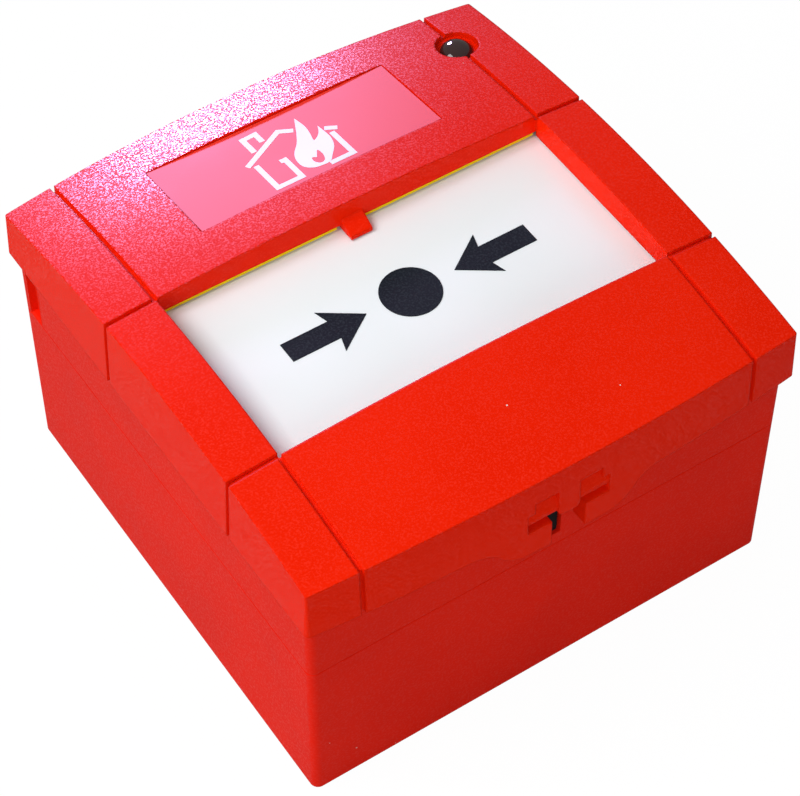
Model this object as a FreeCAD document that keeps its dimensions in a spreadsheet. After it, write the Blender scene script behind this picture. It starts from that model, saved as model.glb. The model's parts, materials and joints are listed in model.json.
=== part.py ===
"""Fire alarm call point with a resettable element, on a surface back box.

X runs across the device, Y up the wall and Z out of the wall, in millimetres.
The origin is the centre of the back box's rear face.
"""
import FreeCAD, Part
import math
import os
import re
import Sketcher

Vector = FreeCAD.Vector

doc = FreeCAD.newDocument("call_point")
sheet = doc.addObject("Spreadsheet::Sheet", "Sizes")

# Driving sizes in millimetres and degrees
SIZES = [
    # drawing
    ("small_sides", 8, "sides of small rounds that stay out of sight"),
    ("overrun", 1.0, "how far a cutting shape runs past the face it opens"),
    ("weld", 0.01, "overlap of shapes that become one moulding"),
    # back box
    ("box_side", 87.0, "width and height of the back box and of the chassis band"),
    ("box_depth", 32.0, "depth of the back box"),
    ("box_wall", 2.4, "side wall of the back box"),
    ("box_floor", 2.4, "rear wall of the back box"),
    ("box_corner", 1.4, "radius of the upright corners"),
    ("rim_bevel", 0.35, "chamfer round the outer edge of the box's rim"),
    ("fixing_span_x", 60.3, "wall screw holes, across"),
    ("fixing_span_y", 60.3, "wall screw holes, up"),
    ("fixing_hole", 4.6, "diameter of a wall screw hole"),
    ("cable_entry", 20.0, "diameter of the rear cable entry"),
    ("conduit", 20.0, "diameter of the knock-out in the top wall"),
    ("knockout_groove", 1.2, "width of the groove around the knock-out"),
    ("knockout_web", 0.8, "wall left under that groove"),
    ("chassis_screw_span", 60.3, "chassis screws, across"),
    ("box_boss", 8.0, "diameter of a screw boss in the box"),
    ("screw_engagement", 12.0, "length of a chassis screw in its boss"),
    # chassis
    ("band_top", 43.9, "front edge of the band, from the wall"),
    ("band_wall", 2.2, "thickness of the band"),
    ("band_chamfer", 0.6, "chamfer round the front edge of the band"),
    ("spigot_depth", 2.0, "how far the chassis reaches into the box"),
    ("spigot_wall", 1.2, "thickness of that spigot"),
    ("spigot_gap", 0.25, "clearance between spigot and box"),
    ("deck_top", 42.0, "front face of the chassis deck, from the wall"),
    ("deck", 2.0, "thickness of the deck"),
    ("frame_top", 49.5, "front edge of the inner frame, from the wall"),
    ("frame_wall", 1.4, "thickness of the inner frame"),
    ("notch_low", 37.5, "finger notch in the band, lower side"),
    ("notch_high", 41.2, "finger notch in the band, upper side"),
    ("notch_top", 41.5, "front end of the finger notch, from the wall"),
    ("notch_depth", 1.2, "depth of the finger notch"),
    # cover hinge
    ("hinge_round", 1.5, "radius of the band's upper rim, struck from the hinge line"),
    ("hinge_bar", 1.6, "diameter of the hinge bars"),
    ("hinge_span", 48.0, "distance between the two hinge bars"),
    ("hook_width", 8.0, "width of a cover hook"),
    ("hook_wall", 0.6, "wall of the ring of a cover hook"),
    ("hook_mouth", 0.42, "half the mouth of a hook, as a share of the bar's diameter"),
    ("hook_gap", 1.0, "clearance beside and under a cover hook"),
    ("running_fit", 0.05, "radial clearance of a turning or sliding fit"),
    # front cover
    ("cover_width", 89.0, "width of the cover at its lip"),
    ("cover_height", 89.2, "height of the cover along its sides"),
    ("edge_bulge", 2.4, "how far the top and bottom edges bow out"),
    ("lip_level", 44.2, "rear edge of the cover, from the wall"),
    ("overall_depth", 59.5, "crown of the cover, from the wall"),
    ("crown_y", -3.0, "height at which the cover is proudest"),
    ("arch_upright", 222.0, "radius of the face, up and down"),
    ("arch_across", 540.0, "radius of the face, across, at its crown"),
    ("draft_angle", 2.5, "draft of the cover's sides"),
    ("cover_wall", 2.0, "side wall of the cover"),
    ("skin", 2.0, "front wall of the cover"),
    ("cover_corner", 1.0, "radius of the cover's upright corners"),
    ("groove_width", 0.8, "width of the styling grooves"),
    ("groove_depth", 0.7, "depth of the styling grooves"),
    ("window_width", 70.4, "width of the window"),
    ("window_top", 12.1, "upper edge of the window"),
    ("window_bottom", -23.1, "lower edge of the window"),
    ("collar", 1.6, "thickness of the collar behind the window"),
    ("tab_width", 3.9, "width of the retaining tab"),
    ("tab_reach", 2.9, "how far the tab stands into the window"),
    ("tab_root", 55.8, "front of the tab at its root, from the wall"),
    ("tab_tip", 54.2, "front of the tab at its tip, from the wall"),
    ("part_gap", 0.3, "free gap between pieces that pass each other"),
    # apron and key recess in the lower side of the cover
    ("apron_level", 39.1, "rear edge of the apron, from the wall"),
    ("apron_flat", 14.0, "width of the straight part of the apron's edge"),
    ("apron_span", 34.5, "width over the curves of the apron"),
    ("apron_back", 44.0, "inner face of the thickened lower wall, from the middle"),
    ("pad_width", 21.0, "width of the thickened lower wall"),
    ("recess_depth", 1.7, "depth of the key recess"),
    ("recess_width", 14.8, "width of the recess, lower part"),
    ("recess_low", 44.2, "recess, edge nearest the wall"),
    ("recess_step", 48.2, "level where the recess narrows"),
    ("recess_upper", 12.2, "width of the recess, upper part"),
    ("recess_top", 50.4, "recess, edge nearest the face"),
    ("rib_low", 45.6, "rib across the recess, edge nearest the wall"),
    ("rib_top", 46.8, "rib across the recess, edge nearest the face"),
    ("rib_rise", 1.4, "height of that rib"),
    ("tongue_width", 3.9, "width of the tongue over the recess"),
    ("tongue_end", 44.7, "free end of the tongue, from the wall"),
    ("stem_width", 6.2, "width of the open slot under the recess"),
    ("catch_low", 45.0, "catch rib inside the cover, edge nearest the wall"),
    ("catch_top", 46.4, "catch rib inside the cover, edge nearest the face"),
    ("catch_reach", 42.6, "tip of the catch rib, from the middle"),
    # label and indicator
    ("label_width", 44.6, "width of the label recess"),
    ("label_low", 20.0, "lower edge of the label recess"),
    ("label_high", 37.8, "upper edge of the label recess"),
    ("label_sink", 0.1, "how deep the label's corners lie"),
    ("label_film", 0.4, "thickness of the label"),
    ("label_gap", 0.15, "clearance around the label"),
    ("lamp_x", 35.4, "indicator, across"),
    ("lamp_y", 35.1, "indicator, up"),
    ("lamp_dish", 7.3, "diameter of the dish around the indicator"),
    ("lamp_dish_floor", 53.4, "floor of that dish, from the wall"),
    ("guide_dome", 4.6, "diameter of the light guide's dome"),
    ("guide_rise", 1.3, "how far the dome stands over the dish floor"),
    ("guide_shoulder", 0.3, "height of the dome's straight side over the dish floor"),
    ("guide_flange", 6.4, "diameter of the light guide's flange"),
    ("guide_flange_depth", 0.8, "thickness of that flange"),
    ("guide_stem", 4.0, "diameter of the light guide's stem"),
    ("guide_end", 50.0, "rear end of the light guide, from the wall"),
    ("lamp_boss", 9.0, "diameter of the boss behind the indicator"),
    ("lamp_boss_end", 51.9, "rear end of that boss, from the wall"),
    # operating element
    ("element_face", 53.2, "front of the operating element, from the wall"),
    ("element_plate", 2.0, "thickness of the element's plate"),
    ("element_lap", 1.4, "how far the element reaches under the window collar"),
    ("element_head", 15.6, "upper edge of the element"),
    ("element_rib", 1.3, "height of the rib round the back of the element"),
    ("element_rib_wall", 1.6, "thickness of that rib"),
    ("pivot_y", 15.5, "element's pivots, up from the middle"),
    ("pivot_z", 50.4, "element's pivots, from the wall"),
    ("pivot_pin", 2.0, "diameter of the pivots"),
    ("pivot_lug", 3.4, "width of the lug that carries a pivot"),
    ("cheek_inside", 37.2, "inner face of a cheek, from the middle"),
    ("cheek", 2.0, "thickness of a cheek"),
    ("cheek_length", 7.0, "length of a cheek"),
    ("cheek_top", 52.6, "front edge of a cheek, from the wall"),
    ("mark_y", -4.5, "centre of the printed mark"),
    ("mark_ink", 0.1, "thickness of the print"),
    ("dot_size", 10.0, "diameter of the printed dot"),
    ("arrow_tip", 8.1, "tip of an arrow, from the dot's centre"),
    ("arrow_barb", 14.65, "back of the arrow's head"),
    ("arrow_notch", 13.9, "where the head meets the shaft"),
    ("arrow_tail", 22.4, "tail of an arrow"),
    ("arrow_head", 9.0, "width of the arrow's head"),
    ("arrow_shaft", 3.9, "width of the arrow's shaft"),
    ("spring_x", 22.0, "element springs, across"),
    ("spring_y", -17.0, "element springs, up"),
    ("spring_size", 5.0, "mean diameter of a spring"),
    ("spring_wire", 0.6, "thickness of the spring wire"),
    ("spring_turns", 4, "turns of a spring"),
    ("spring_post", 3.4, "diameter of the post inside a spring"),
    ("spring_post_rise", 3.0, "height of that post"),
    # status flag
    ("flag_face", 54.1, "front of the flag, from the wall"),
    ("flag_plate", 0.6, "thickness of the flag"),
    ("flag_edge", 12.4, "lower edge of the flag at rest"),
    ("flag_drop", 4.5, "how far the flag falls"),
    ("flag_width", 69.6, "width of the flag's window part"),
    ("flag_shoulder", 18.6, "lower edge of the flag's cross bar"),
    ("flag_head", 22.6, "upper edge of the flag"),
    ("flag_arm", 1.5, "thickness of a flag arm"),
    ("flag_slot_gap", 0.65, "clearance between the flag's slot and the tab"),
    ("arm_room", 3.5, "clearance above and below a flag arm in the frame"),
    # microswitch
    ("switch_length", 12.8, "length of the switch"),
    ("switch_width", 5.8, "width of the switch"),
    ("switch_y", 3.0, "switch, up from the middle"),
    ("switch_top", 43.5, "front of the switch, from the wall"),
    ("plunger_x", 1.5, "plunger, across"),
    ("plunger", 1.7, "diameter of the plunger"),
    ("plunger_top", 44.7, "front of the plunger at rest, from the wall"),
    ("plunger_length", 2.3, "length of the plunger"),
    ("plunger_travel", 1.1, "travel of the plunger"),
    ("switch_pin", 0.9, "diameter of a switch pin"),
    ("switch_pin_pitch", 4.0, "distance between switch pins"),
    ("presser", 3.2, "diameter of the boss on the element that presses the plunger"),
    # reset slide
    ("slide_width", 12.0, "width of the reset slide"),
    ("slide_plate", 1.8, "thickness of the reset slide"),
    ("slide_near", 38.0, "outer end of the slide's plate, below the middle"),
    ("slide_far", 27.0, "inner end of the slide, below the middle"),
    ("slide_travel", 3.0, "travel of the reset slide"),
    ("nose_width", 2.0, "width of the slide's nose"),
    ("nose_low", 34.9, "rear edge of the nose, from the wall"),
    ("nose_top", 43.6, "front edge of the nose, from the wall"),
    ("nose_sink", 0.5, "how far the nose lies behind the band's face"),
    ("nose_gap", 0.4, "clearance beside the nose"),
    ("lift_depth", 2.0, "thickness of the slide's lifter"),
    ("lift_top", 46.3, "front edge of the lifter, from the wall"),
    ("rail", 1.7, "thickness of a slide rail"),
    ("rail_lip", 1.2, "how far the rail's lip reaches over the slide"),
    ("rail_lip_depth", 0.8, "thickness of that lip"),
    # snap tongues of the chassis
    ("snap_x", 6.6, "snap tongues, across"),
    ("snap_width", 4.0, "width of a snap tongue"),
    ("snap_slit", 0.8, "width of the slits beside a tongue"),
    ("snap_root", 43.9, "root of a tongue, from the wall"),
    ("snap_nose_low", 46.8, "nose of a tongue, edge nearest the wall"),
    ("snap_nose_top", 48.3, "nose of a tongue, edge nearest the face"),
    ("snap_nose", 42.1, "tip of a nose, from the middle"),
    # circuit board and what it carries
    ("board_front", 37.0, "front of the circuit board, from the wall"),
    ("board", 1.6, "thickness of the circuit board"),
    ("board_width", 76.0, "width of the board"),
    ("board_high", 38.5, "upper edge of the board"),
    ("board_step", 6.5, "where the board narrows"),
    ("board_neck", 48.0, "width of the narrow part"),
    ("board_low", -10.0, "lower edge of the board"),
    ("post_x", 34.0, "side board posts, across"),
    ("post_y", 12.0, "side board posts, up"),
    ("post_low_y", -7.0, "lower board post, up"),
    ("post", 5.0, "diameter of a board post"),
    ("board_screw", 1.9, "diameter of a board screw"),
    ("board_screw_head", 4.0, "diameter of its head"),
    ("board_screw_crown", 1.5, "height of its head"),
    ("screw_gap", 0.05, "radial clearance of a screw in its pilot hole"),
    ("free_hole", 0.3, "radial clearance of a pin in the board"),
    ("poles", 6, "number of terminals"),
    ("pole_pitch", 5.08, "distance between terminals"),
    ("terminal_y", 22.0, "lower face of the terminal block"),
    ("terminal_width", 9.0, "width of the terminal block"),
    ("terminal_height", 10.0, "height of the terminal block"),
    ("wire_hole", 3.2, "width of a wire entry"),
    ("wire_hole_depth", 6.0, "depth of a wire entry"),
    ("wire_hole_rise", 2.4, "wall between a wire entry and the board"),
    ("wire_hole_height", 4.2, "height of a wire entry"),
    ("clamp_wall", 0.6, "wall of a clamp"),
    ("clamp_gap", 0.1, "clearance around a clamp"),
    ("clamp_depth", 4.5, "length of a clamp"),
    ("terminal_pin", 1.0, "diameter of a terminal's pin"),
    ("terminal_screw", 3.0, "diameter of a terminal screw's head"),
    ("terminal_screw_crown", 1.7, "height of its head"),
    ("terminal_shank", 1.8, "diameter of its shank"),
    ("terminal_slot", 0.6, "width of the slot in its head"),
    ("pin_reach", 0.8, "how far a pin stands out of the board"),
    ("resistor", 3.0, "diameter of a resistor"),
    ("resistor_length", 8.5, "length of a resistor"),
    ("resistor_x", 10.0, "resistors, across"),
    ("resistor_y", 14.0, "resistors, up"),
    ("resistor_lead", 0.6, "diameter of a resistor's lead"),
    ("resistor_span", 12.5, "distance between the two leads"),
    ("led_size", 3.0, "diameter of the indicator lamp"),
    ("led_flange", 3.8, "diameter of its flange"),
    ("led_flange_depth", 1.0, "thickness of its flange"),
    ("led_top", 43.5, "front of the lamp, from the wall"),
    ("led_leg", 0.5, "thickness of its legs"),
    ("led_leg_pitch", 2.54, "distance between its legs"),
    # chassis screws
    ("chassis_screw", 3.4, "diameter of a chassis screw"),
    ("chassis_screw_head", 7.0, "diameter of its head"),
    ("chassis_screw_crown", 2.4, "height of its head"),
    ("cross_slot", 0.9, "width of the cross in a screw head"),
    ("cross_share", 0.45, "depth of that cross, as a share of the head's height"),
    ("cross_reach", 0.32, "reach of that cross from the middle, as a share of the head's diameter"),
    ("chassis_boss", 7.6, "diameter of the chassis boss around a screw"),
    ("chassis_hole", 4.2, "diameter of the hole through that boss"),
]


def build_sheet():
    """Write one row for each driving size: its name, its value and what it is."""
    for row, (name, value, note) in enumerate(SIZES, start=1):
        sheet.set("A%d" % row, name)
        sheet.set("B%d" % row, str(value))
        sheet.setAlias("B%d" % row, name)
        sheet.set("C%d" % row, note)
    doc.recompute()


NAMES = sorted((name for name, value, note in SIZES), key=len, reverse=True)
WORD = re.compile(r"\b(" + "|".join(NAMES) + r")\b")


def full(text):
    """Spell an expression out, with each size named through the sheet."""
    return WORD.sub(r"Sizes.\1", str(text))


def number(text):
    """The present value of an expression."""
    return float(sheet.evalExpression(full(text)))


def bind(item, **fields):
    """Tie properties of an object to expressions; Base_x means Base.x."""
    for field, text in fields.items():
        item.setExpression(field.replace("__", "."), full(text))


def origin_plane(body, role):
    """One of a body's own origin planes."""
    for item in body.Origin.OriginFeatures:
        if item.Role == role:
            return item
    raise RuntimeError("no such plane: " + role)


def new_body(name):
    """An empty body."""
    body = doc.addObject("PartDesign::Body", name)
    return body


def new_sketch(body, name, level="0", role="XY_Plane"):
    """A sketch on one of the body's origin planes, moved along its normal."""
    sketch = body.newObject("Sketcher::SketchObject", name)
    sketch.AttachmentSupport = [(origin_plane(body, role), "")]
    sketch.MapMode = "FlatFace"
    bind(sketch, AttachmentOffset__Base__z=level)
    return sketch


def hold(sketch, kind, geometry, point, text):
    """Fix one coordinate of a point, measured from the sketch's origin."""
    place = sketch.addConstraint(Sketcher.Constraint(kind, -1, 1, geometry, point, number(text)))
    sketch.setExpression("Constraints[%d]" % place, full(text))


def outline(sketch, points):
    """A closed outline through points (x, y) written as expressions.

    A third entry (radius, side) makes the edge that starts there an arc: side is 1
    where it bows to the left of the direction of travel and -1 to the right.
    """
    spots = [Vector(number(point[0]), number(point[1]), 0) for point in points]
    first = sketch.GeometryCount
    count = len(points)
    for place, point in enumerate(points):
        start = spots[place]
        end = spots[(place + 1) % count]
        if len(point) == 2:
            sketch.addGeometry(Part.LineSegment(start, end), False)
            continue
        radius, side = point[2]
        chord = end - start
        half = chord.Length / 2
        size = number(radius)
        sagitta = size - max(size * size - half * half, 0) ** 0.5
        normal = Vector(-chord.y, chord.x, 0).normalize()
        middle = (start + end) / 2 + normal * (side * sagitta)
        if side > 0:
            start, end = end, start
        sketch.addGeometry(Part.ArcOfCircle(start, middle, end), False)
    for place, point in enumerate(points):
        geometry = first + place
        follower = first + (place + 1) % count
        near, far = ends(sketch, geometry, spots[place])
        sketch.addConstraint(Sketcher.Constraint("Coincident", geometry, far, follower,
                                                 ends(sketch, follower, spots[(place + 1) % count])[0]))
        hold(sketch, "DistanceX", geometry, near, point[0])
        hold(sketch, "DistanceY", geometry, near, point[1])
        if len(point) == 3:
            item = sketch.addConstraint(Sketcher.Constraint("Radius", geometry, number(point[2][0])))
            sketch.setExpression("Constraints[%d]" % item, full(point[2][0]))


def ends(sketch, geometry, spot):
    """The sketch's numbers for the end of an edge at a spot, and for its other end."""
    edge = sketch.Geometry[geometry]
    if edge.StartPoint.distanceToPoint(spot) < edge.EndPoint.distanceToPoint(spot):
        return 1, 2
    return 2, 1


def rectangle(sketch, low_x, low_y, high_x, high_y):
    """A rectangle between two corners."""
    outline(sketch, [(low_x, low_y), (high_x, low_y), (high_x, high_y), (low_x, high_y)])


def circle(sketch, centre_x, centre_y, diameter):
    """A circle about a point."""
    spot = Vector(number(centre_x), number(centre_y), 0)
    geometry = sketch.addGeometry(Part.Circle(spot, Vector(0, 0, 1), number(diameter) / 2), False)
    hold(sketch, "DistanceX", geometry, 3, centre_x)
    hold(sketch, "DistanceY", geometry, 3, centre_y)
    item = sketch.addConstraint(Sketcher.Constraint("Diameter", geometry, number(diameter)))
    sketch.setExpression("Constraints[%d]" % item, full(diameter))


def pad(body, sketch, length, middle=False):
    """Raise a sketch by a length, along its normal or both ways."""
    item = body.newObject("PartDesign::Pad", sketch.Name + "_pad")
    item.Profile = sketch
    item.Midplane = middle
    bind(item, Length=length)
    return item


def pocket(body, sketch, length, middle=False, along=False):
    """Sink a sketch by a length: against its normal, along it, or both ways."""
    item = body.newObject("PartDesign::Pocket", sketch.Name + "_pocket")
    item.Profile = sketch
    item.Midplane = middle
    item.Reversed = along
    bind(item, Length=length)
    return item


def block(name, low_x, low_y, low_z, high_x, high_y, high_z):
    """A box between two corners."""
    item = doc.addObject("Part::Box", name)
    bind(item, Length="(%s) - (%s)" % (high_x, low_x))
    bind(item, Width="(%s) - (%s)" % (high_y, low_y))
    bind(item, Height="(%s) - (%s)" % (high_z, low_z))
    bind(item, Placement__Base__x=low_x, Placement__Base__y=low_y, Placement__Base__z=low_z)
    return item


UPRIGHT = FreeCAD.Rotation()
ACROSS = FreeCAD.Rotation(Vector(0, 1, 0), 90)
UPWARD = FreeCAD.Rotation(Vector(1, 0, 0), -90)


def stand(item, turn, low_x, low_y, low_z):
    """Turn a shape from Z and start it at a point."""
    item.Placement = FreeCAD.Placement(Vector(0, 0, 0), turn)
    bind(item, Placement__Base__x=low_x, Placement__Base__y=low_y, Placement__Base__z=low_z)
    return item


def rod(name, low_x, low_y, low_z, diameter, length, turn=UPRIGHT):
    """A cylinder along Z, or turned to run along X or Y."""
    item = doc.addObject("Part::Cylinder", name)
    bind(item, Radius="(%s) / 2" % diameter, Height=length)
    return stand(item, turn, low_x, low_y, low_z)


def peg(name, low_x, low_y, low_z, diameter, length, turn=UPRIGHT):
    """A small round that stays out of sight, kept light as a prism with a few sides."""
    item = doc.addObject("Part::Prism", name)
    bind(item, Polygon="small_sides", Circumradius="(%s) / 2" % diameter, Height=length)
    return stand(item, turn, low_x, low_y, low_z)


def bar(name, centre_x, centre_y, low_z, width, length):
    """A square bar along Z."""
    half = "(%s) / 2" % width
    return block(name, "%s - %s" % (centre_x, half), "%s - %s" % (centre_y, half), low_z,
                 "%s + %s" % (centre_x, half), "%s + %s" % (centre_y, half), "%s + %s" % (low_z, length))


def mirrored(sign, low, high):
    """Two limits across the device, swapped and mirrored for the left side."""
    if sign:
        return "-(%s)" % high, "-(%s)" % low
    return low, high


def cut(name, base, tool):
    """One shape less another."""
    item = doc.addObject("Part::Cut", name)
    item.Base = base
    item.Tool = tool
    return item


def join(name, shapes):
    """Several shapes as one solid."""
    item = doc.addObject("Part::MultiFuse", name)
    item.Shapes = shapes
    item.Refine = True
    return item


def common(name, shapes):
    """What several shapes share."""
    item = doc.addObject("Part::MultiCommon", name)
    item.Shapes = shapes
    return item


def edges_where(shape, test):
    """The names of the edges for which a test holds."""
    return ["Edge%d" % (place + 1) for place, edge in enumerate(shape.Edges) if test(edge)]


def faces_where(shape, test):
    """The names of the faces for which a test holds."""
    return ["Face%d" % (place + 1) for place, face in enumerate(shape.Faces) if test(face)]


def dress(body, kind, name, pick, test):
    """A fillet, chamfer or draft on the edges or faces that a test picks from a body."""
    doc.recompute()
    base = body.Tip
    item = body.newObject(kind, name)
    item.Base = (base, pick(base.Shape, test))
    return item


def upright(edge):
    """Whether an edge runs along Z, give or take a draft angle."""
    start = edge.Vertexes[0].Point
    end = edge.Vertexes[-1].Point
    return abs(end.z - start.z) > 0.95 * (end - start).Length > 0


def prism(name, role, level, points, length, middle=False):
    """An outline on one of the three planes, raised by a length."""
    body = new_body(name)
    sketch = new_sketch(body, name + "_outline", level, role)
    outline(sketch, points)
    pad(body, sketch, length, middle)
    return body


def finish(item, node):
    """Give a finished piece the name of its node."""
    item.Label = node
    NODES.append(item)
    return item


def group(shapes, node):
    """Like pieces in one node, as separate solids."""
    item = doc.addObject("Part::Compound", node + "_group")
    item.Links = shapes
    finish(item, node)


NODES = []
BOTH = (("left", "-"), ("right", ""))
FAR = "overall_depth + 10"
HINGE_Y = "(box_side / 2 - hinge_round)"
HINGE_Z = "(band_top - hinge_round)"


# Heights of the cover's face, as expressions
def face_level(across, up):
    """Height of the face over a point: an arc upright, carried round an arc across."""
    spine = "(sqrt(arch_upright ^ 2 - (%s - crown_y) ^ 2) - arch_upright + arch_across)" % up
    return "(overall_depth - arch_across + sqrt(%s ^ 2 - (%s) ^ 2))" % (spine, across)


def label_floor(up):
    """Height of the flat floor under the label, level with the face at its four corners."""
    low = "(%s - label_sink - label_film)" % face_level("label_width / 2", "label_low")
    high = "(%s - label_sink - label_film)" % face_level("label_width / 2", "label_high")
    return "(%s + (%s - %s) * (%s - label_low) / (label_high - label_low))" % (low, high, low, up)


# Back box
def make_back_box():
    """An open box with two screw bosses, four wall holes, a cable entry and a knock-out."""
    body = new_body("back_box_tray")
    plan = new_sketch(body, "back_box_plan")
    half = "box_side / 2"
    rectangle(plan, "-" + half, "-" + half, half, half)
    pad(body, plan, "box_depth")
    corners = dress(body, "PartDesign::Fillet", "back_box_corners", edges_where, upright)
    bind(corners, Radius="box_corner")
    level = number("box_depth - weld")
    bevel = dress(body, "PartDesign::Chamfer", "back_box_bevel", edges_where,
                  lambda edge: edge.BoundBox.ZMin > level)
    bind(bevel, Size="rim_bevel")
    room = new_sketch(body, "back_box_room", "box_depth")
    inner = "(box_side / 2 - box_wall)"
    rectangle(room, "-" + inner, "-" + inner, inner, inner)
    pocket(body, room, "box_depth - box_floor")
    through = "box_floor + 2 * overrun"
    solids = [body]
    holes = [rod("box_entry", "0", "0", "-overrun", "cable_entry", through), box_knockout()]
    for side, sign in BOTH:
        x = sign + "chassis_screw_span / 2"
        solids.append(peg("box_boss_" + side, x, "0", "box_floor / 2", "box_boss", "box_depth - box_floor / 2"))
        low, high = mirrored(sign, "chassis_screw_span / 2 + box_boss / 4", inner + " + box_wall / 2")
        solids.append(block("box_rib_" + side, low, "-box_wall / 2", "box_floor / 2", high, "box_wall / 2",
                            "box_depth - 2 * spigot_depth"))
        holes.append(peg("box_pilot_" + side, x, "0", "box_depth - screw_engagement - overrun",
                         "chassis_screw + 2 * screw_gap", "screw_engagement + 2 * overrun"))
        for place, up in (("low", "-"), ("high", "")):
            holes.append(rod("box_fixing_%s_%s" % (side, place), sign + "fixing_span_x / 2",
                             up + "fixing_span_y / 2", "-overrun", "fixing_hole", through))
    finish(cut("box_drilled", join("box_whole", solids), join("box_holes", holes)), "back_box")


def box_knockout():
    """The round groove in the upper wall that leaves a disc to be knocked out."""
    rim = rod("box_knockout_rim", "0", "box_side / 2 - box_wall + knockout_web", "box_depth / 2",
              "conduit", "box_wall", UPWARD)
    disc = rod("box_knockout_disc", "0", "box_side / 2 - 2 * box_wall", "box_depth / 2",
               "conduit - 2 * knockout_groove", "4 * box_wall", UPWARD)
    return cut("box_knockout", rim, disc)


# Chassis
BAND_IN = "(box_side / 2 - band_wall)"
FRAME_IN = "(box_side / 2 - band_wall - frame_wall)"
DECK_LOW = "(deck_top - deck)"
PAST_FRAME = "frame_top + overrun"


def square(name, half, low, high):
    """A square block about the middle, between two levels."""
    return block(name, "-" + half, "-" + half, low, half, half, high)


def chassis_band():
    """The band that shows between box and cover, with a chamfered front edge."""
    body = new_body("chassis_band")
    plan = new_sketch(body, "band_plan", "box_depth")
    half = "box_side / 2"
    rectangle(plan, "-" + half, "-" + half, half, half)
    pad(body, plan, "band_top - box_depth")
    corners = dress(body, "PartDesign::Fillet", "band_corners", edges_where, upright)
    bind(corners, Radius="box_corner")
    level = number("band_top - weld")
    bevel = dress(body, "PartDesign::Chamfer", "band_bevel", edges_where,
                  lambda edge: edge.BoundBox.ZMin > level)
    bind(bevel, Size="band_chamfer")
    return body


def chassis_walls():
    """Band, spigot, the ledge that joins them, deck and inner frame."""
    spigot_out = "(box_side / 2 - box_wall - spigot_gap)"
    spigot_in = "(box_side / 2 - box_wall - spigot_gap - spigot_wall)"
    low = "box_depth - spigot_depth"
    top = "box_depth + band_wall"
    return [
        cut("band_ring", chassis_band(), square("band_room", BAND_IN, "box_depth - overrun", "band_top + overrun")),
        cut("spigot", square("spigot_out", spigot_out, low, top),
            square("spigot_in", spigot_in, low + " - overrun", top + " + overrun")),
        cut("ledge", square("ledge_out", BAND_IN, "box_depth", top),
            square("ledge_in", spigot_in, "box_depth - overrun", top + " + overrun")),
        square("deck_plate", BAND_IN, DECK_LOW, "deck_top"),
        cut("frame", square("frame_out", BAND_IN, DECK_LOW, "frame_top"),
            square("frame_in", FRAME_IN, DECK_LOW + " - overrun", PAST_FRAME))]


def chassis_posts(side, sign):
    """On one side: the cheek for the pivot, the screw boss, the spring post and a board post."""
    low, high = mirrored(sign, "cheek_inside", "cheek_inside + cheek")
    x = sign + "chassis_screw_span / 2"
    solids = [block("cheek_" + side, low, "pivot_y - cheek_length / 2", DECK_LOW, high,
                    "pivot_y + cheek_length / 2", "cheek_top"),
              peg("chassis_boss_" + side, x, "0", "box_depth", "chassis_boss", "deck_top - box_depth"),
              peg("spring_post_" + side, sign + "spring_x", "spring_y", "deck_top - deck / 2", "spring_post",
                  "spring_post_rise + deck / 2")]
    hole = peg("chassis_hole_" + side, x, "0", "box_depth - overrun", "chassis_hole",
               "deck_top - box_depth + 2 * overrun")
    post, pilot = board_post(side, sign + "post_x", "post_y")
    return solids + [post], [hole, pilot]


def board_post(tag, x, y):
    """A post under the deck that a board screw goes into, and its pilot hole."""
    post = peg("board_post_" + tag, x, y, "board_front", "post", "deck_top - deck / 2 - board_front")
    pilot = peg("board_pilot_" + tag, x, y, "board_front - overrun", "board_screw + 2 * screw_gap",
                "deck_top - deck - board_front + overrun")
    return post, pilot


def chassis_snap(side, sign):
    """A snap nose on the frame that holds the cover's catch, and the slits beside its tongue."""
    low, high = mirrored(sign, "snap_x - snap_width / 2", "snap_x + snap_width / 2")
    nose = block("snap_nose_" + side, low, "-snap_nose", "snap_nose_low", high,
                 "-%s + frame_wall / 2" % BAND_IN, "snap_nose_top")
    slits = [block("snap_slit_%s_%s" % (side, edge), start, "-%s - weld" % BAND_IN, "snap_root",
                   start + " + snap_slit", "-%s + overrun" % FRAME_IN, PAST_FRAME)
             for edge, start in (("near", low + " - snap_slit"), ("far", high))]
    return nose, slits


def chassis_openings(side, sign):
    """On one side: room for a cover hook, the slot for the flag's arm and the finger notch."""
    low = sign + "hinge_span / 2 - hook_width / 2 - hook_gap"
    high = sign + "hinge_span / 2 + hook_width / 2 + hook_gap"
    ring = "(hinge_bar / 2 + running_fit + hook_wall + hook_gap / 2)"
    arm_low, arm_high = mirrored(sign, FRAME_IN + " - overrun", BAND_IN + " + weld")
    notch_low, notch_high = mirrored(sign, "box_side / 2 - notch_depth", "box_side / 2 + overrun")
    return [block("hook_notch_" + side, low, FRAME_IN + " - weld", "%s - %s" % (HINGE_Z, ring), high,
                  "box_side / 2 + overrun", PAST_FRAME),
            block("hook_deck_" + side, low, "%s - %s" % (HINGE_Y, ring), DECK_LOW + " - overrun", high,
                  BAND_IN, PAST_FRAME),
            block("arm_gap_" + side, arm_low, "flag_shoulder - flag_drop - arm_room", "deck_top", arm_high,
                  "flag_head + arm_room", PAST_FRAME),
            block("finger_notch_" + side, notch_low, "notch_low", "box_depth - overrun", notch_high,
                  "notch_high", "notch_top")]


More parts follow.
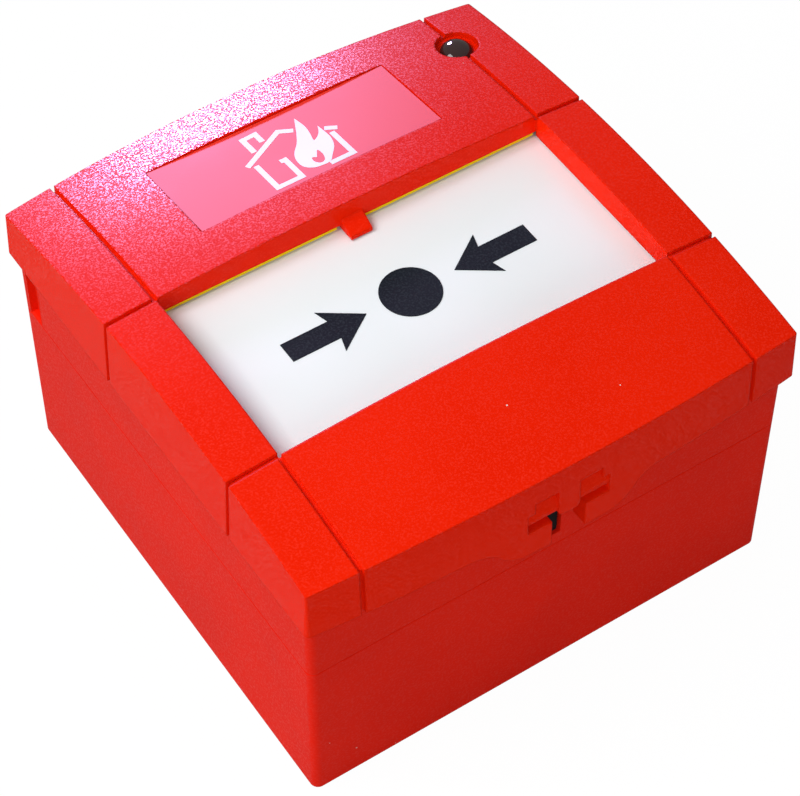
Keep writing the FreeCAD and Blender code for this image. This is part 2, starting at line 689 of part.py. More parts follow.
def slide_rail(side, start, lip_start):
    """A rail beside the reset slide, with a lip over its edge."""
    under = "deck_top + slide_plate + 2 * part_gap"
    top = under + " + rail_lip_depth"
    far = "-slide_far + slide_travel"
    return [block("rail_" + side, start, "-slide_near", DECK_LOW, start + " + rail", far, top),
            block("rail_lip_" + side, lip_start, "-slide_near", under, lip_start + " + rail + rail_lip", far,
                  top)]


def chassis_middle():
    """Openings in the middle of the chassis and the round of the band under the cover's lip."""
    rim = prism("swing_round", "YZ_Plane", "0",
                [(HINGE_Y, "band_top", ("hinge_round", 1)), ("box_side / 2", HINGE_Z),
                 ("box_side / 2 + overrun", HINGE_Z), ("box_side / 2 + overrun", "band_top + overrun"),
                 (HINGE_Y, "band_top + overrun")], "box_side + overrun", True)
    reach = "(cheek_inside + cheek + overrun)"
    gap = " / 2 + part_gap"
    return [rim,
            block("switch_gap", "-switch_length" + gap.replace("+", "-"),
                  "switch_y - switch_width" + gap.replace("+", "-"), DECK_LOW + " - overrun",
                  "switch_length" + gap, "switch_y + switch_width" + gap, "deck_top + overrun"),
            peg("lamp_gap", "lamp_x", "lamp_y", DECK_LOW + " - overrun", "led_flange + 4 * part_gap",
                "deck + 2 * overrun"),
            block("key_slot", "-nose_width / 2 - nose_gap", "-box_side / 2 - overrun",
                  "nose_low - part_gap", "nose_width / 2 + nose_gap",
                  "-slide_near + slide_travel + nose_gap", "band_top"),
            rod("pivot_bore", "-" + reach, "pivot_y", "pivot_z", "pivot_pin + 2 * running_fit", "2 * " + reach,
                ACROSS)]


def make_chassis():
    """The red moulding that carries everything."""
    solids = chassis_walls()
    tools = chassis_middle()
    bars = []
    for side, sign in BOTH:
        posts, holes = chassis_posts(side, sign)
        nose, slits = chassis_snap(side, sign)
        solids += posts + [nose]
        tools += holes + slits + chassis_openings(side, sign)
        bars.append(rod("hinge_bar_" + side,
                        sign + "hinge_span / 2 - hook_width / 2 - hook_gap - hinge_bar / 2",
                        HINGE_Y, HINGE_Z, "hinge_bar", "hook_width + 2 * hook_gap + hinge_bar", ACROSS))
    post, pilot = board_post("low", "0", "post_low_y")
    edge = "-slide_width / 2 - part_gap - rail"
    solids += [post] + slide_rail("left", edge, edge)
    edge = "slide_width / 2 + part_gap"
    solids += slide_rail("right", edge, edge + " - rail_lip")
    open_frame = cut("chassis_open", join("chassis_solid", solids), join("chassis_tools", tools + [pilot]))
    finish(join("chassis_whole", [open_frame] + bars), "chassis")


# Front cover
def arched_block(name, inset, sink, base_level, rounded):
    """The outer form of the cover, drawn in by an inset and sunk at the face by a depth.

    The plan has straight sides and bowed top and bottom edges, drafted towards the face.
    The face is an arc in the upright plane turned about a line far behind the wall, so
    that it arches both ways.
    """
    body = new_body(name)
    plan = new_sketch(body, name + "_plan", base_level)
    flare = "(lip_level - (%s)) * tan(draft_angle * 1 deg)" % base_level
    half_w = "(cover_width / 2 - %s + %s)" % (inset, flare)
    half_h = "(cover_height / 2 - %s + %s)" % (inset, flare)
    bow = "((cover_width ^ 2 / 4 + edge_bulge ^ 2) / (2 * edge_bulge))"
    outline(plan, [("-" + half_w, half_h), ("-" + half_w, "-" + half_h, (bow, -1)),
                   (half_w, "-" + half_h), (half_w, half_h, (bow, -1))])
    pad(body, plan, "overall_depth + 4 - (%s)" % base_level)
    level = number(base_level)
    if rounded:
        corners = dress(body, "PartDesign::Fillet", name + "_corners", edges_where, upright)
        bind(corners, Radius="cover_corner")
    slope = dress(body, "PartDesign::Draft", name + "_draft", faces_where,
                  lambda face: face.BoundBox.ZLength > 1)
    raised = slope.Base[0]
    slope.NeutralPlane = (raised, faces_where(raised.Shape, lambda face: face.BoundBox.ZMax < level + 0.01))
    bind(slope, Angle="draft_angle")
    face = new_sketch(body, name + "_face", "0", "YZ_Plane")
    low = "(crown_y - overall_depth)"
    high = "(crown_y + overall_depth)"
    bend = "(arch_upright - %s)" % sink
    spring = "(overall_depth - %s - %s + sqrt(%s ^ 2 - overall_depth ^ 2))" % (sink, bend, bend)
    outline(face, [(low, spring, (bend, 1)), (high, spring),
                   (high, "overall_depth + 30"), (low, "overall_depth + 30")])
    depth = "overall_depth - arch_across"
    axis = face.addGeometry(Part.LineSegment(Vector(-10, number(depth), 0), Vector(10, number(depth), 0)), True)
    for end, place in ((1, "-10"), (2, "10")):
        hold(face, "DistanceX", axis, end, place)
        hold(face, "DistanceY", axis, end, depth)
    arch = body.newObject("PartDesign::Groove", name + "_arch")
    arch.Profile = face
    arch.ReferenceAxis = (face, ["Axis0"])
    arch.Angle = 30
    arch.Midplane = True
    return body


PAST_APRON = "(2 * apron_level - lip_level)"


def apron_cutter():
    """What is taken away behind the cover's lower edge: a wave of four equal arcs."""
    run = "((apron_span - apron_flat) / 2)"
    rise = "(lip_level - apron_level)"
    bend = "((%s ^ 2 + %s ^ 2) / (4 * %s))" % (run, rise, rise)
    middle_x = "(apron_span + apron_flat) / 4"
    middle_z = "(lip_level + apron_level) / 2"
    edge = "cover_width"
    points = [("-" + edge, "lip_level"), ("-apron_span / 2", "lip_level", (bend, 1)),
              ("-" + middle_x, middle_z, (bend, -1)), ("-apron_flat / 2", "apron_level"),
              ("apron_flat / 2", "apron_level", (bend, -1)), (middle_x, middle_z, (bend, 1)),
              ("apron_span / 2", "lip_level"), (edge, "lip_level"), (edge, PAST_APRON),
              ("-" + edge, PAST_APRON)]
    return prism("apron_cutter", "XZ_Plane", "box_side / 2 - band_wall", points, "cover_height / 2")


def key_recess():
    """The recess for the test key: a T in plan, with a ramp, a rib, a tongue over it and a slot below."""
    low = "recess_width / 2"
    high = "recess_upper / 2"
    tongue = "tongue_width / 2"
    turn = "(tongue_width / 4)"
    points = [("-" + low, "recess_low"), (low, "recess_low"), (low, "recess_step"), (high, "recess_step"),
              (high, "recess_top"), (tongue, "recess_top"), (tongue, "tongue_end + " + turn, (turn, 1)),
              (tongue + " - " + turn, "tongue_end"), ("-(%s - %s)" % (tongue, turn), "tongue_end", (turn, 1)),
              ("-" + tongue, "tongue_end + " + turn), ("-" + tongue, "recess_top"), ("-" + high, "recess_top"),
              ("-" + high, "recess_step"), ("-" + low, "recess_step")]
    plan = prism("recess_plan", "XZ_Plane", "apron_back", points, "cover_height")
    outside = "-cover_height / 2 - edge_bulge - cover_wall"
    floor = "-(cover_height / 2 + edge_bulge - recess_depth)"
    side = [(outside, "recess_low"), (floor, "recess_low"), (floor, "rib_low"),
            (floor + " - rib_rise", "rib_low + rib_rise / 4"), (floor + " - rib_rise", "rib_top"),
            (floor, "recess_top"), (outside, "recess_top")]
    depth = prism("recess_side", "YZ_Plane", "0", side, "recess_width + overrun", True)
    stem = block("recess_stem", "-stem_width / 2", outside, PAST_APRON, "stem_width / 2",
                 "-apron_back + overrun", "recess_low")
    throat = block("recess_throat", "-stem_width / 2", outside, "recess_low - weld", "stem_width / 2",
                   "-apron_back + overrun", "rib_low")
    return [common("recess", [plan, depth]), stem, common("recess_mouth", [plan, throat])]


def cover_hook(side, sign):
    """A ring that snaps over a hinge bar, on an arm from the cover's upper wall."""
    low = sign + "hinge_span / 2 - hook_width / 2"
    high = sign + "hinge_span / 2 + hook_width / 2"
    bore = "(hinge_bar + 2 * running_fit)"
    ring = rod("hook_ring_" + side, low, HINGE_Y, HINGE_Z, bore + " + 2 * hook_wall", "hook_width", ACROSS)
    arm = block("hook_arm_" + side, low, HINGE_Y + " - hook_wall", HINGE_Z, high, HINGE_Y + " + hinge_bar / 2",
                "lip_level + cover_wall")
    foot = block("hook_foot_" + side, low, HINGE_Y, "lip_level", high,
                 "cover_height / 2", "lip_level + cover_wall")
    whole = join("hook_whole_" + side, [ring, arm, foot])
    past = low + " - overrun"
    eye = rod("hook_eye_" + side, past, HINGE_Y, HINGE_Z, bore, "hook_width + 2 * overrun", ACROSS)
    mouth = block("hook_mouth_" + side, past, HINGE_Y + " - hook_mouth * hinge_bar",
                  HINGE_Z + " - 2 * hinge_bar", high + " + overrun", HINGE_Y + " + hook_mouth * hinge_bar",
                  HINGE_Z)
    return cut("hook_" + side, whole, join("hook_gap_" + side, [eye, mouth]))


def make_front_cover():
    """The arched cover: thin shell, window with a collar, grooves, recesses and hooks."""
    outer = arched_block("cover_outer", "0", "0", "apron_level", True)
    core = arched_block("cover_core", "cover_wall", "skin", "apron_level - overrun", False)
    lowered = arched_block("cover_lowered", "groove_depth", "groove_depth", "apron_level - overrun", False)
    behind = block("cover_behind", "-cover_width", "-(box_side / 2 - band_wall)", PAST_APRON,
                   "cover_width", "cover_height", "lip_level")
    form = cut("cover_form", outer, join("cover_skirt", [behind, apron_cutter()]))
    shell = cut("cover_shell", form, core)
    half = "window_width / 2"
    collar_top = "flag_face + part_gap"
    collar_low = "element_face + part_gap"
    ribs = [block("collar_upper", "-%s - collar" % half, "window_top - weld", collar_top, half + " + collar",
                  "window_top + collar", FAR),
            block("collar_lower", "-%s - collar" % half, "window_bottom - collar", collar_low,
                  half + " + collar", "window_bottom + weld", FAR),
            block("collar_left", "-%s - collar" % half, "window_bottom - collar", collar_low,
                  "-%s + weld" % half, "window_top", FAR),
            block("collar_right", half + " - weld", "window_bottom - collar", collar_low,
                  half + " + collar", "window_top", FAR),
            block("wall_pad", "-pad_width / 2", "-cover_height", "apron_level - overrun", "pad_width / 2",
                  "-apron_back", "recess_top + cover_wall"),
            peg("lamp_boss", "lamp_x", "lamp_y", "lamp_boss_end", "lamp_boss", "overall_depth - lamp_boss_end")]
    for side, sign in BOTH:
        low, high = mirrored(sign, "snap_x - snap_width / 2", "snap_x + snap_width / 2")
        ribs.append(block("catch_" + side, low, "-apron_back - overrun", "catch_low", high, "-catch_reach",
                          "catch_top"))
    stiff = common("cover_ribs", [form, join("rib_blocks", ribs)])
    whole = join("cover_closed", [shell, stiff])
    bars = []
    for side, sign in BOTH:
        x = sign + half
        for place, start, end in (("low", "-cover_height", "window_bottom + groove_width / 2"),
                                  ("high", "window_top - groove_width / 2", "cover_height")):
            bars.append(block("groove_up_%s_%s" % (side, place), x + " - groove_width / 2", start,
                              "apron_level - 2 * overrun", x + " + groove_width / 2", end, FAR))
        low, high = mirrored(sign, half, "cover_width")
        for place, y in (("high", "window_top"), ("low", "window_bottom")):
            bars.append(block("groove_%s_%s" % (side, place), low, y + " - groove_width / 2",
                              "apron_level - 2 * overrun", high, y + " + groove_width / 2", FAR))
    grooves = cut("cover_grooves", join("groove_bars", bars), lowered)
    label = prism("label_pocket", "YZ_Plane", "0",
                  [("label_low", label_floor("label_low")), ("label_high", label_floor("label_high")),
                   ("label_high", FAR), ("label_low", FAR)], "label_width", True)
    tools = [grooves, label,
             block("window_cut", "-" + half, "window_bottom", "box_depth", half, "window_top", FAR),
             rod("lamp_dish", "lamp_x", "lamp_y", "lamp_dish_floor", "lamp_dish", "overall_depth"),
             rod("lamp_bore", "lamp_x", "lamp_y", "box_depth", "guide_dome + 2 * running_fit", "overall_depth")]
    opened = cut("cover_opened", whole, join("cover_tools", tools + key_recess()))
    tab = prism("window_tab", "YZ_Plane", "0",
                [("window_top - tab_reach", "element_face + part_gap"),
                 ("window_top + collar / 2", "element_face + part_gap"),
                 ("window_top + collar / 2", "tab_root"), ("window_top", "tab_root"),
                 ("window_top - tab_reach", "tab_tip")], "tab_width", True)
    hooks = [cover_hook(side, sign) for side, sign in BOTH]
    finish(join("cover_whole", [opened, tab] + hooks), "front_cover")


def make_label():
    """The flat label that lies in the face."""
    low = "label_low + label_gap"
    high = "label_high - label_gap"
    body = prism("label_film", "YZ_Plane", "0",
                 [(low, label_floor("(%s)" % low)), (high, label_floor("(%s)" % high)),
                  (high, label_floor("(%s)" % high) + " + label_film"),
                  (low, label_floor("(%s)" % low) + " + label_film")], "label_width - 2 * label_gap", True)
    finish(body, "label_insert")


def turned(name, points, x, y):
    """A piece turned about an upright line at (x, y), from its half section."""
    body = new_body(name)
    sketch = new_sketch(body, name + "_section", "0", "XZ_Plane")
    outline(sketch, points)
    item = body.newObject("PartDesign::Revolution", name + "_turned")
    item.Profile = sketch
    item.ReferenceAxis = (sketch, ["V_Axis"])
    item.Angle = 360
    bind(body, Placement__Base__x=x, Placement__Base__y=y)
    return body


def dome(radius, rise):
    """Radius of the cap that rises by a height over a disc."""
    return "((%s ^ 2 + (%s) ^ 2) / (2 * (%s)))" % (radius, rise, rise)


def make_light_guide():
    """The clear light guide in the cover: a dome in the dish, and a flange and a stem behind it."""
    radius = "(guide_dome / 2)"
    shoulder = "lamp_dish_floor + guide_shoulder"
    rise = "guide_rise - guide_shoulder"
    back = "(lamp_boss_end - guide_flange_depth)"
    cap = turned("light_guide_cap",
                 [("0", back), (radius, back), (radius, shoulder, (dome(radius, rise), -1)),
                  ("0", "lamp_dish_floor + guide_rise")], "lamp_x", "lamp_y")
    flange = peg("light_guide_flange", "lamp_x", "lamp_y", back, "guide_flange", "guide_flange_depth")
    stem = peg("light_guide_stem", "lamp_x", "lamp_y", "guide_end", "guide_stem", back + " + weld - guide_end")
    finish(join("light_guide_whole", [cap, flange, stem]), "light_guide")


# Operating element
def make_element():
    """The white plate behind the window: ribbed back, two pivots and a pressing boss."""
    half = "(window_width / 2 + element_lap)"
    low = "(window_bottom - element_lap)"
    back = "element_face - element_plate"
    rib_low = back + " - element_rib"
    body = new_body("element_plate_body")
    plan = new_sketch(body, "element_plan", back)
    rectangle(plan, "-" + half, low, half, "element_head")
    pad(body, plan, "element_plate")
    ring_in = "(%s - element_lap - element_rib_wall)" % half
    solids = [body]
    solids.append(cut("element_ring",
                      block("element_ring_out", "-(%s - element_lap)" % half, low + " + element_lap", rib_low,
                            half + " - element_lap", "pivot_y - pivot_pin", back),
                      block("element_ring_in", "-" + ring_in, low + " + element_lap + element_rib_wall",
                            rib_low + " - 1", ring_in, "pivot_y - pivot_pin - element_rib_wall", back + " + 1")))
    solids.append(peg("element_presser", "plunger_x", "switch_y", "plunger_top + part_gap", "presser",
                      "%s - plunger_top - part_gap" % back))
    for side, sign in BOTH:
        low_x, high_x = mirrored(sign, half + " - collar", half)
        solids.append(block("pivot_lug_" + side, low_x, "pivot_y - pivot_lug / 2", "pivot_z - pivot_pin / 2",
                            high_x, "pivot_y + pivot_lug / 2 - 0.2", back))
        start = half + " - collar / 2"
        length = "cheek_inside + cheek - part_gap - (%s)" % start
        if sign:
            start = "-(cheek_inside + cheek - part_gap)"
        solids.append(rod("pivot_pin_" + side, start, "pivot_y", "pivot_z", "pivot_pin", length, ACROSS))
    finish(join("element_whole", solids), "operating_element")


def make_marking():
    """The print on the element: two arrows that point at a dot."""
    body = new_body("marking_dot")
    sketch = new_sketch(body, "dot_outline", "element_face")
    circle(sketch, "0", "mark_y", "dot_size")
    pad(body, sketch, "mark_ink")
    inks = [body]
    for side, sign in BOTH:
        def spot(x, width, up):
            return (sign + "1 * " + x, "mark_y %s %s / 2" % (up, width))
        inks.append(prism("marking_arrow_" + side, "XY_Plane", "element_face",
                          [(sign + "arrow_tip", "mark_y"), spot("arrow_barb", "arrow_head", "+"),
                           spot("arrow_notch", "arrow_shaft", "+"), spot("arrow_tail", "arrow_shaft", "+"),
                           spot("arrow_tail", "arrow_shaft", "-"), spot("arrow_notch", "arrow_shaft", "-"),
                           spot("arrow_barb", "arrow_head", "-")], "mark_ink"))
    group(inks, "element_marking")


def make_springs():
    """The two coil springs that hold the element forward, each turn in short straight runs."""
    height = number("element_face - element_plate - deck_top - 2 * part_gap - spring_wire")
    radius = number("spring_size / 2")
    sides = int(number("small_sides"))
    runs = sides * int(number("spring_turns"))
    spots = []
    for place in range(runs + 1):
        angle = 2 * math.pi * place / sides
        spots.append(Vector(radius * math.cos(angle), radius * math.sin(angle), height * place / runs))
    coils = []
    for side, sign in BOTH:
        path = doc.addObject("Part::Feature", "spring_path_" + side)
        path.Shape = Part.makePolygon(spots)
        section = doc.addObject("Part::Plane", "spring_wire_" + side)
        bind(section, Length="spring_wire", Width="spring_wire")
        section.Placement = FreeCAD.Placement(Vector(0, 0, 0), FreeCAD.Rotation(Vector(1, 0, 0), 90))
        bind(section, Placement__Base__x="spring_size / 2 - spring_wire / 2", Placement__Base__z="-spring_wire / 2")
        coil = doc.addObject("Part::Sweep", "spring_" + side)
        coil.Sections = [section]
        coil.Spine = (path, [])
        coil.Solid = True
        coil.Transition = "Right corner"
        bind(coil, Placement__Base__x=sign + "spring_x", Placement__Base__y="spring_y",
             Placement__Base__z="deck_top + part_gap + spring_wire / 2")
        coils.append(coil)
    group(coils, "element_springs")


def make_flag():
    """The flag that drops into the top of the window, carried on two side arms."""
    back = "flag_face - flag_plate"
    tongue = "flag_width / 2"
    arm_out = "(box_side / 2 - band_wall - part_gap)"
    slot = "(tab_width / 2 + flag_slot_gap)"
    slot_end = "window_top + collar / 2 + flag_drop + 2 * part_gap"
    body = prism("flag_sheet", "XY_Plane", back,
                 [("-" + tongue, "flag_edge"), ("-" + slot, "flag_edge"), ("-" + slot, slot_end),
                  (slot, slot_end), (slot, "flag_edge"), (tongue, "flag_edge"), (tongue, "flag_shoulder"),
                  (arm_out, "flag_shoulder"), (arm_out, "flag_head"), ("-" + arm_out, "flag_head"),
                  ("-" + arm_out, "flag_shoulder"), ("-" + tongue, "flag_shoulder")], "flag_plate")
    solids = [body]
    for side, sign in BOTH:
        low, high = mirrored(sign, arm_out + " - flag_arm", arm_out)
        solids.append(block("flag_arm_" + side, low, "flag_shoulder", "deck_top + part_gap", high,
                            "flag_head", back))
    finish(join("flag_whole", solids), "status_flag")


# Reset slide
def make_reset_slide():
    """The slide that the test key pushes in, with a nose in the key slot and a lifter."""
    base = "deck_top + part_gap"
    top = base + " + slide_plate"
    plate = block("slide_plate_block", "-slide_width / 2", "-slide_near", base,
                  "slide_width / 2", "-slide_far", top)
    nose = block("slide_nose", "-nose_width / 2", "-(box_side / 2 - nose_sink)", "nose_low",
                 "nose_width / 2", "-slide_near", "nose_top")
    lift_half = "(slide_width / 2 - rail_lip - part_gap)"
    lifter = block("slide_lifter", "-" + lift_half, "-slide_far - lift_depth", top,
                   "" + lift_half, "-slide_far", "lift_top")
    finish(join("slide_whole", [plate, nose, lifter]), "reset_slide")


# Electronics
POLE_Y = "(terminal_y + wire_hole_depth / 2)"


def pole_x(place):
    """Where one terminal lies, across."""
    return "(%d - (poles - 1) / 2) * pole_pitch" % place


def make_board():
    """The circuit board, with holes for every pin and screw."""
    back = "board_front - board"
    half = "board_width / 2"
    neck = "board_neck / 2"
    body = prism("board_sheet", "XY_Plane", back,
                 [("-" + half, "board_high"), ("-" + half, "board_step"), ("-" + neck, "board_step"),
                  ("-" + neck, "board_low"), (neck, "board_low"), (neck, "board_step"),
                  (half, "board_step"), (half, "board_high")], "board")
    holes = []

    def drill(x, y, size):
        name = "board_hole_%d" % len(holes)
        holes.append(peg(name, x, y, back + " - overrun", size + " + 2 * free_hole", "board + 2 * overrun"))

    for side, sign in BOTH:
        drill(sign + "post_x", "post_y", "board_screw")
        drill("lamp_x %s led_leg_pitch / 2" % (sign or "+"), "lamp_y", "sqrt(2) * led_leg")
        for end in ("-", "+"):
            drill("%s1 * resistor_x %s resistor_span / 2" % (sign, end), "resistor_y", "sqrt(2) * resistor_lead")
    drill("0", "post_low_y", "board_screw")
    for place in (-1, 0, 1):
        drill("%d * switch_pin_pitch" % place, "switch_y", "sqrt(2) * switch_pin")
    for place in range(int(number("poles"))):
        drill(pole_x(place), POLE_Y, "sqrt(2) * terminal_pin")
    finish(cut("board_drilled", body, join("board_holes", holes)), "circuit_board")


def make_terminals():
    """The terminal block with its clamps and screws, on the rear of the board."""
    seat = "(board_front - board)"
    floor = "(board_front - board - terminal_height)"
    high = "(%s - wire_hole_rise)" % seat
    low = "(%s - wire_hole_height)" % high
    shell = block("terminal_shell", "-poles * pole_pitch / 2", "terminal_y", floor, "poles * pole_pitch / 2",
                  "terminal_y + terminal_width", seat)
    holes = []
    clamps = []
    screws = []
    for place in range(int(number("poles"))):
        tag = "_%d" % place
        x = pole_x(place)
        holes += [block("wire_hole" + tag, x + " - wire_hole / 2", "terminal_y - overrun", low,
                        x + " + wire_hole / 2", "terminal_y + wire_hole_depth", high),
                  peg("screw_hole" + tag, x, POLE_Y, floor + " - overrun", "terminal_screw + 2 * clamp_gap",
                      "%s - %s + 2 * overrun" % (low, floor)),
                  bar("pin_hole" + tag, x, POLE_Y, high + " - overrun", "terminal_pin + 2 * clamp_gap",
                      "wire_hole_rise + 2 * overrun")]
        clamps.append(terminal_clamp(tag, x, low, high))
        screws.append(terminal_screw(tag, x, floor + " + part_gap", "(%s + clamp_gap)" % low))
    finish(cut("terminal_open", shell, join("terminal_holes", holes)), "terminal_block")
    group(clamps, "terminal_clamps")
    group(screws, "terminal_screws")


def terminal_clamp(tag, x, low, high):
    """One cage clamp, open towards the wire, with the pin that goes through the board."""
    edge = "(wire_hole / 2 - clamp_gap)"
    cage = block("clamp_cage" + tag, "%s - %s" % (x, edge), POLE_Y + " - clamp_depth / 2", low + " + clamp_gap",
                 "%s + %s" % (x, edge), POLE_Y + " + clamp_depth / 2", high)
    eye = block("clamp_eye" + tag, "%s - %s + clamp_wall" % (x, edge), POLE_Y + " - clamp_depth",
                low + " + clamp_gap + clamp_wall", "%s + %s - clamp_wall" % (x, edge),
                POLE_Y + " + clamp_depth", high + " - clamp_wall")
    pin = bar("clamp_pin" + tag, x, POLE_Y, high + " - clamp_wall / 2", "terminal_pin",
              "wire_hole_rise + board + pin_reach + clamp_wall / 2")
    return join("clamp" + tag, [cut("clamp_frame" + tag, cage, eye), pin])


def terminal_screw(tag, x, crown, end):
    """One slotted screw, from its crown to its end on the clamp."""
    under = crown + " + terminal_screw_crown / 2"
    head = peg("terminal_head" + tag, x, POLE_Y, crown, "terminal_screw", "terminal_screw_crown")
    shank = peg("terminal_shank" + tag, x, POLE_Y, under, "terminal_shank", "%s - (%s)" % (end, under))
    slot = block("terminal_slot" + tag, x + " - terminal_screw", POLE_Y + " - terminal_slot / 2",
                 crown + " - overrun", x + " + terminal_screw", POLE_Y + " + terminal_slot / 2", under)
    return cut("terminal_screw_cut" + tag, join("terminal_screw_turned" + tag, [head, shank]), slot)


def make_switch():
    """The microswitch, its plunger and its three pins."""
    shell = block("switch_shell", "-switch_length / 2", "switch_y - switch_width / 2", "board_front",
                  "switch_length / 2", "switch_y + switch_width / 2", "switch_top")
    well = peg("switch_well", "plunger_x", "switch_y",
               "plunger_top - plunger_length - plunger_travel - part_gap / 2", "plunger + 2 * running_fit",
               "plunger_length + plunger_travel + overrun")
    finish(cut("switch_bored", shell, well), "switch_body")
    finish(peg("switch_button", "plunger_x", "switch_y", "plunger_top - plunger_length", "plunger",
               "plunger_length"), "switch_plunger")
    pins = [bar("switch_pin_%d" % place, "%d * switch_pin_pitch" % (place - 1), "switch_y",
                "board_front - board - pin_reach", "switch_pin", "board + pin_reach") for place in range(3)]
    group(pins, "switch_pins")


def make_lamp():
    """The indicator lamp on the board, with its flange, and its two legs."""
    seat = "board_front + part_gap"
    flange = peg("led_base", "lamp_x", "lamp_y", seat, "led_flange", "led_flange_depth")
    bulb = peg("led_bulb", "lamp_x", "lamp_y", seat, "led_size", "led_top - (%s)" % seat)
    finish(join("led_whole", [flange, bulb]), "alarm_led")
    legs = [bar("led_leg_" + side, "lamp_x %s led_leg_pitch / 2" % (sign or "+"), "lamp_y",
                "board_front - board - pin_reach", "led_leg", "board + pin_reach + part_gap")
            for side, sign in BOTH]
    group(legs, "led_legs")


def make_resistors():
    """The two resistors behind the board, each with its bent leads."""
    centre = "(board_front - board - part_gap - resistor / 2)"
    half = "resistor_lead / 2"
    pieces = []
    for side, sign in BOTH:
        x = sign + "1 * resistor_x"
        barrel = peg("resistor_barrel_" + side, x + " - resistor_length / 2", "resistor_y", centre, "resistor",
                     "resistor_length", ACROSS)
        wire = block("resistor_wire_" + side, x + " - resistor_span / 2", "resistor_y - " + half,
                     "%s - %s" % (centre, half), x + " + resistor_span / 2", "resistor_y + " + half,
                     "%s + %s" % (centre, half))
        legs = [bar("resistor_leg_%s_%s" % (side, place), "%s %s resistor_span / 2" % (x, end), "resistor_y",
                    "%s - %s" % (centre, half), "resistor_lead",
                    "resistor / 2 + part_gap + board + pin_reach + " + half)
                for place, end in (("a", "-"), ("b", "+"))]
        pieces.append(join("resistor_" + side, [barrel, wire] + legs))
    group(pieces, "line_resistors")


# Screws
def screw(tag, x, y, seat, kind, length, forward):
    """A pan-head screw with a cross in its head; it points forward or back from its seat."""
    head = kind + "_head"
    crown = kind + "_crown"
    sink = "cross_share * " + crown
    if forward:
        shank_low, head_low = (seat, "%s - %s" % (seat, crown))
        cross_low, cross_high = (head_low + " - overrun", "%s + %s" % (head_low, sink))
    else:
        shank_low, head_low = ("%s - (%s)" % (seat, length), seat)
        cross_low, cross_high = ("%s + %s - %s" % (seat, crown, sink), "%s + %s + overrun" % (seat, crown))
    turned_head = join("screw_" + tag, [peg("screw_shank_" + tag, x, y, shank_low, kind, length),
                                        peg("screw_head_" + tag, x, y, head_low, head, crown)])
    reach = "cross_reach * " + head
    slot = "cross_slot / 2"
    arms = join("cross_" + tag,
                [block("cross_a_" + tag, "%s - %s" % (x, reach), "%s - %s" % (y, slot), cross_low,
                       "%s + %s" % (x, reach), "%s + %s" % (y, slot), cross_high),
                 block("cross_b_" + tag, "%s - %s" % (x, slot), "%s - %s" % (y, reach), cross_low,
                       "%s + %s" % (x, slot), "%s + %s" % (y, reach), cross_high)])
    return cut("screw_cut_" + tag, turned_head, arms)


def make_screws():
    """The chassis screws, seated on the deck, and the board screws behind the board."""
    long_screws = [screw("chassis_" + side, sign + "chassis_screw_span / 2", "0", "deck_top", "chassis_screw",
                         "deck_top - box_depth + screw_engagement", False) for side, sign in BOTH]
    group(long_screws, "chassis_screws")
    length = "board + deck_top - deck - board_front - part_gap"
    places = [("left", "-post_x", "post_y"), ("right", "post_x", "post_y"), ("low", "0", "post_low_y")]
    short_screws = [screw("board_" + tag, x, y, "board_front - board", "board_screw", length, True)
                    for tag, x, y in places]
    group(short_screws, "board_screws")


def check_and_write():
    """Stop on any failed feature or broken solid, then write one file for each node."""
    doc.recompute()
    for item in doc.Objects:
        if "Invalid" in item.State or "Error" in item.State:
            raise RuntimeError("failed feature: " + item.Name)
    os.makedirs("parts", exist_ok=True)
    for item in NODES:
        shape = item.Shape
        if shape.isNull() or not shape.isValid() or not shape.Solids:
            raise RuntimeError("broken solid: " + item.Label)
        print("%-18s %2d solid(s) %9.1f mm3" % (item.Label, len(shape.Solids), shape.Volume))
        shape.exportStep("parts/%s.step" % item.Label)


build_sheet()
make_back_box()
make_chassis()
make_front_cover()
make_label()
make_light_guide()
make_element()
make_marking()
make_springs()
make_flag()
make_reset_slide()
make_board()
make_terminals()
make_switch()
make_lamp()
make_resistors()
make_screws()
check_and_write()
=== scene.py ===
# %% [markdown]
# # A fire alarm call point, dressed around its CAD frame
#
# The object is a red plastic box that is fixed on a wall. A white plate behind a window is
# pressed in an emergency. The frame that is loaded here holds every solid at its real size, so
# this lesson only adds what solids can't say: finishes with softened edges, a printed sign, a
# domed lens, round spring wire and light.

# %% Load the frame
import json
import math

import bmesh
import bpy
import numpy as np
from mathutils import Matrix, Vector

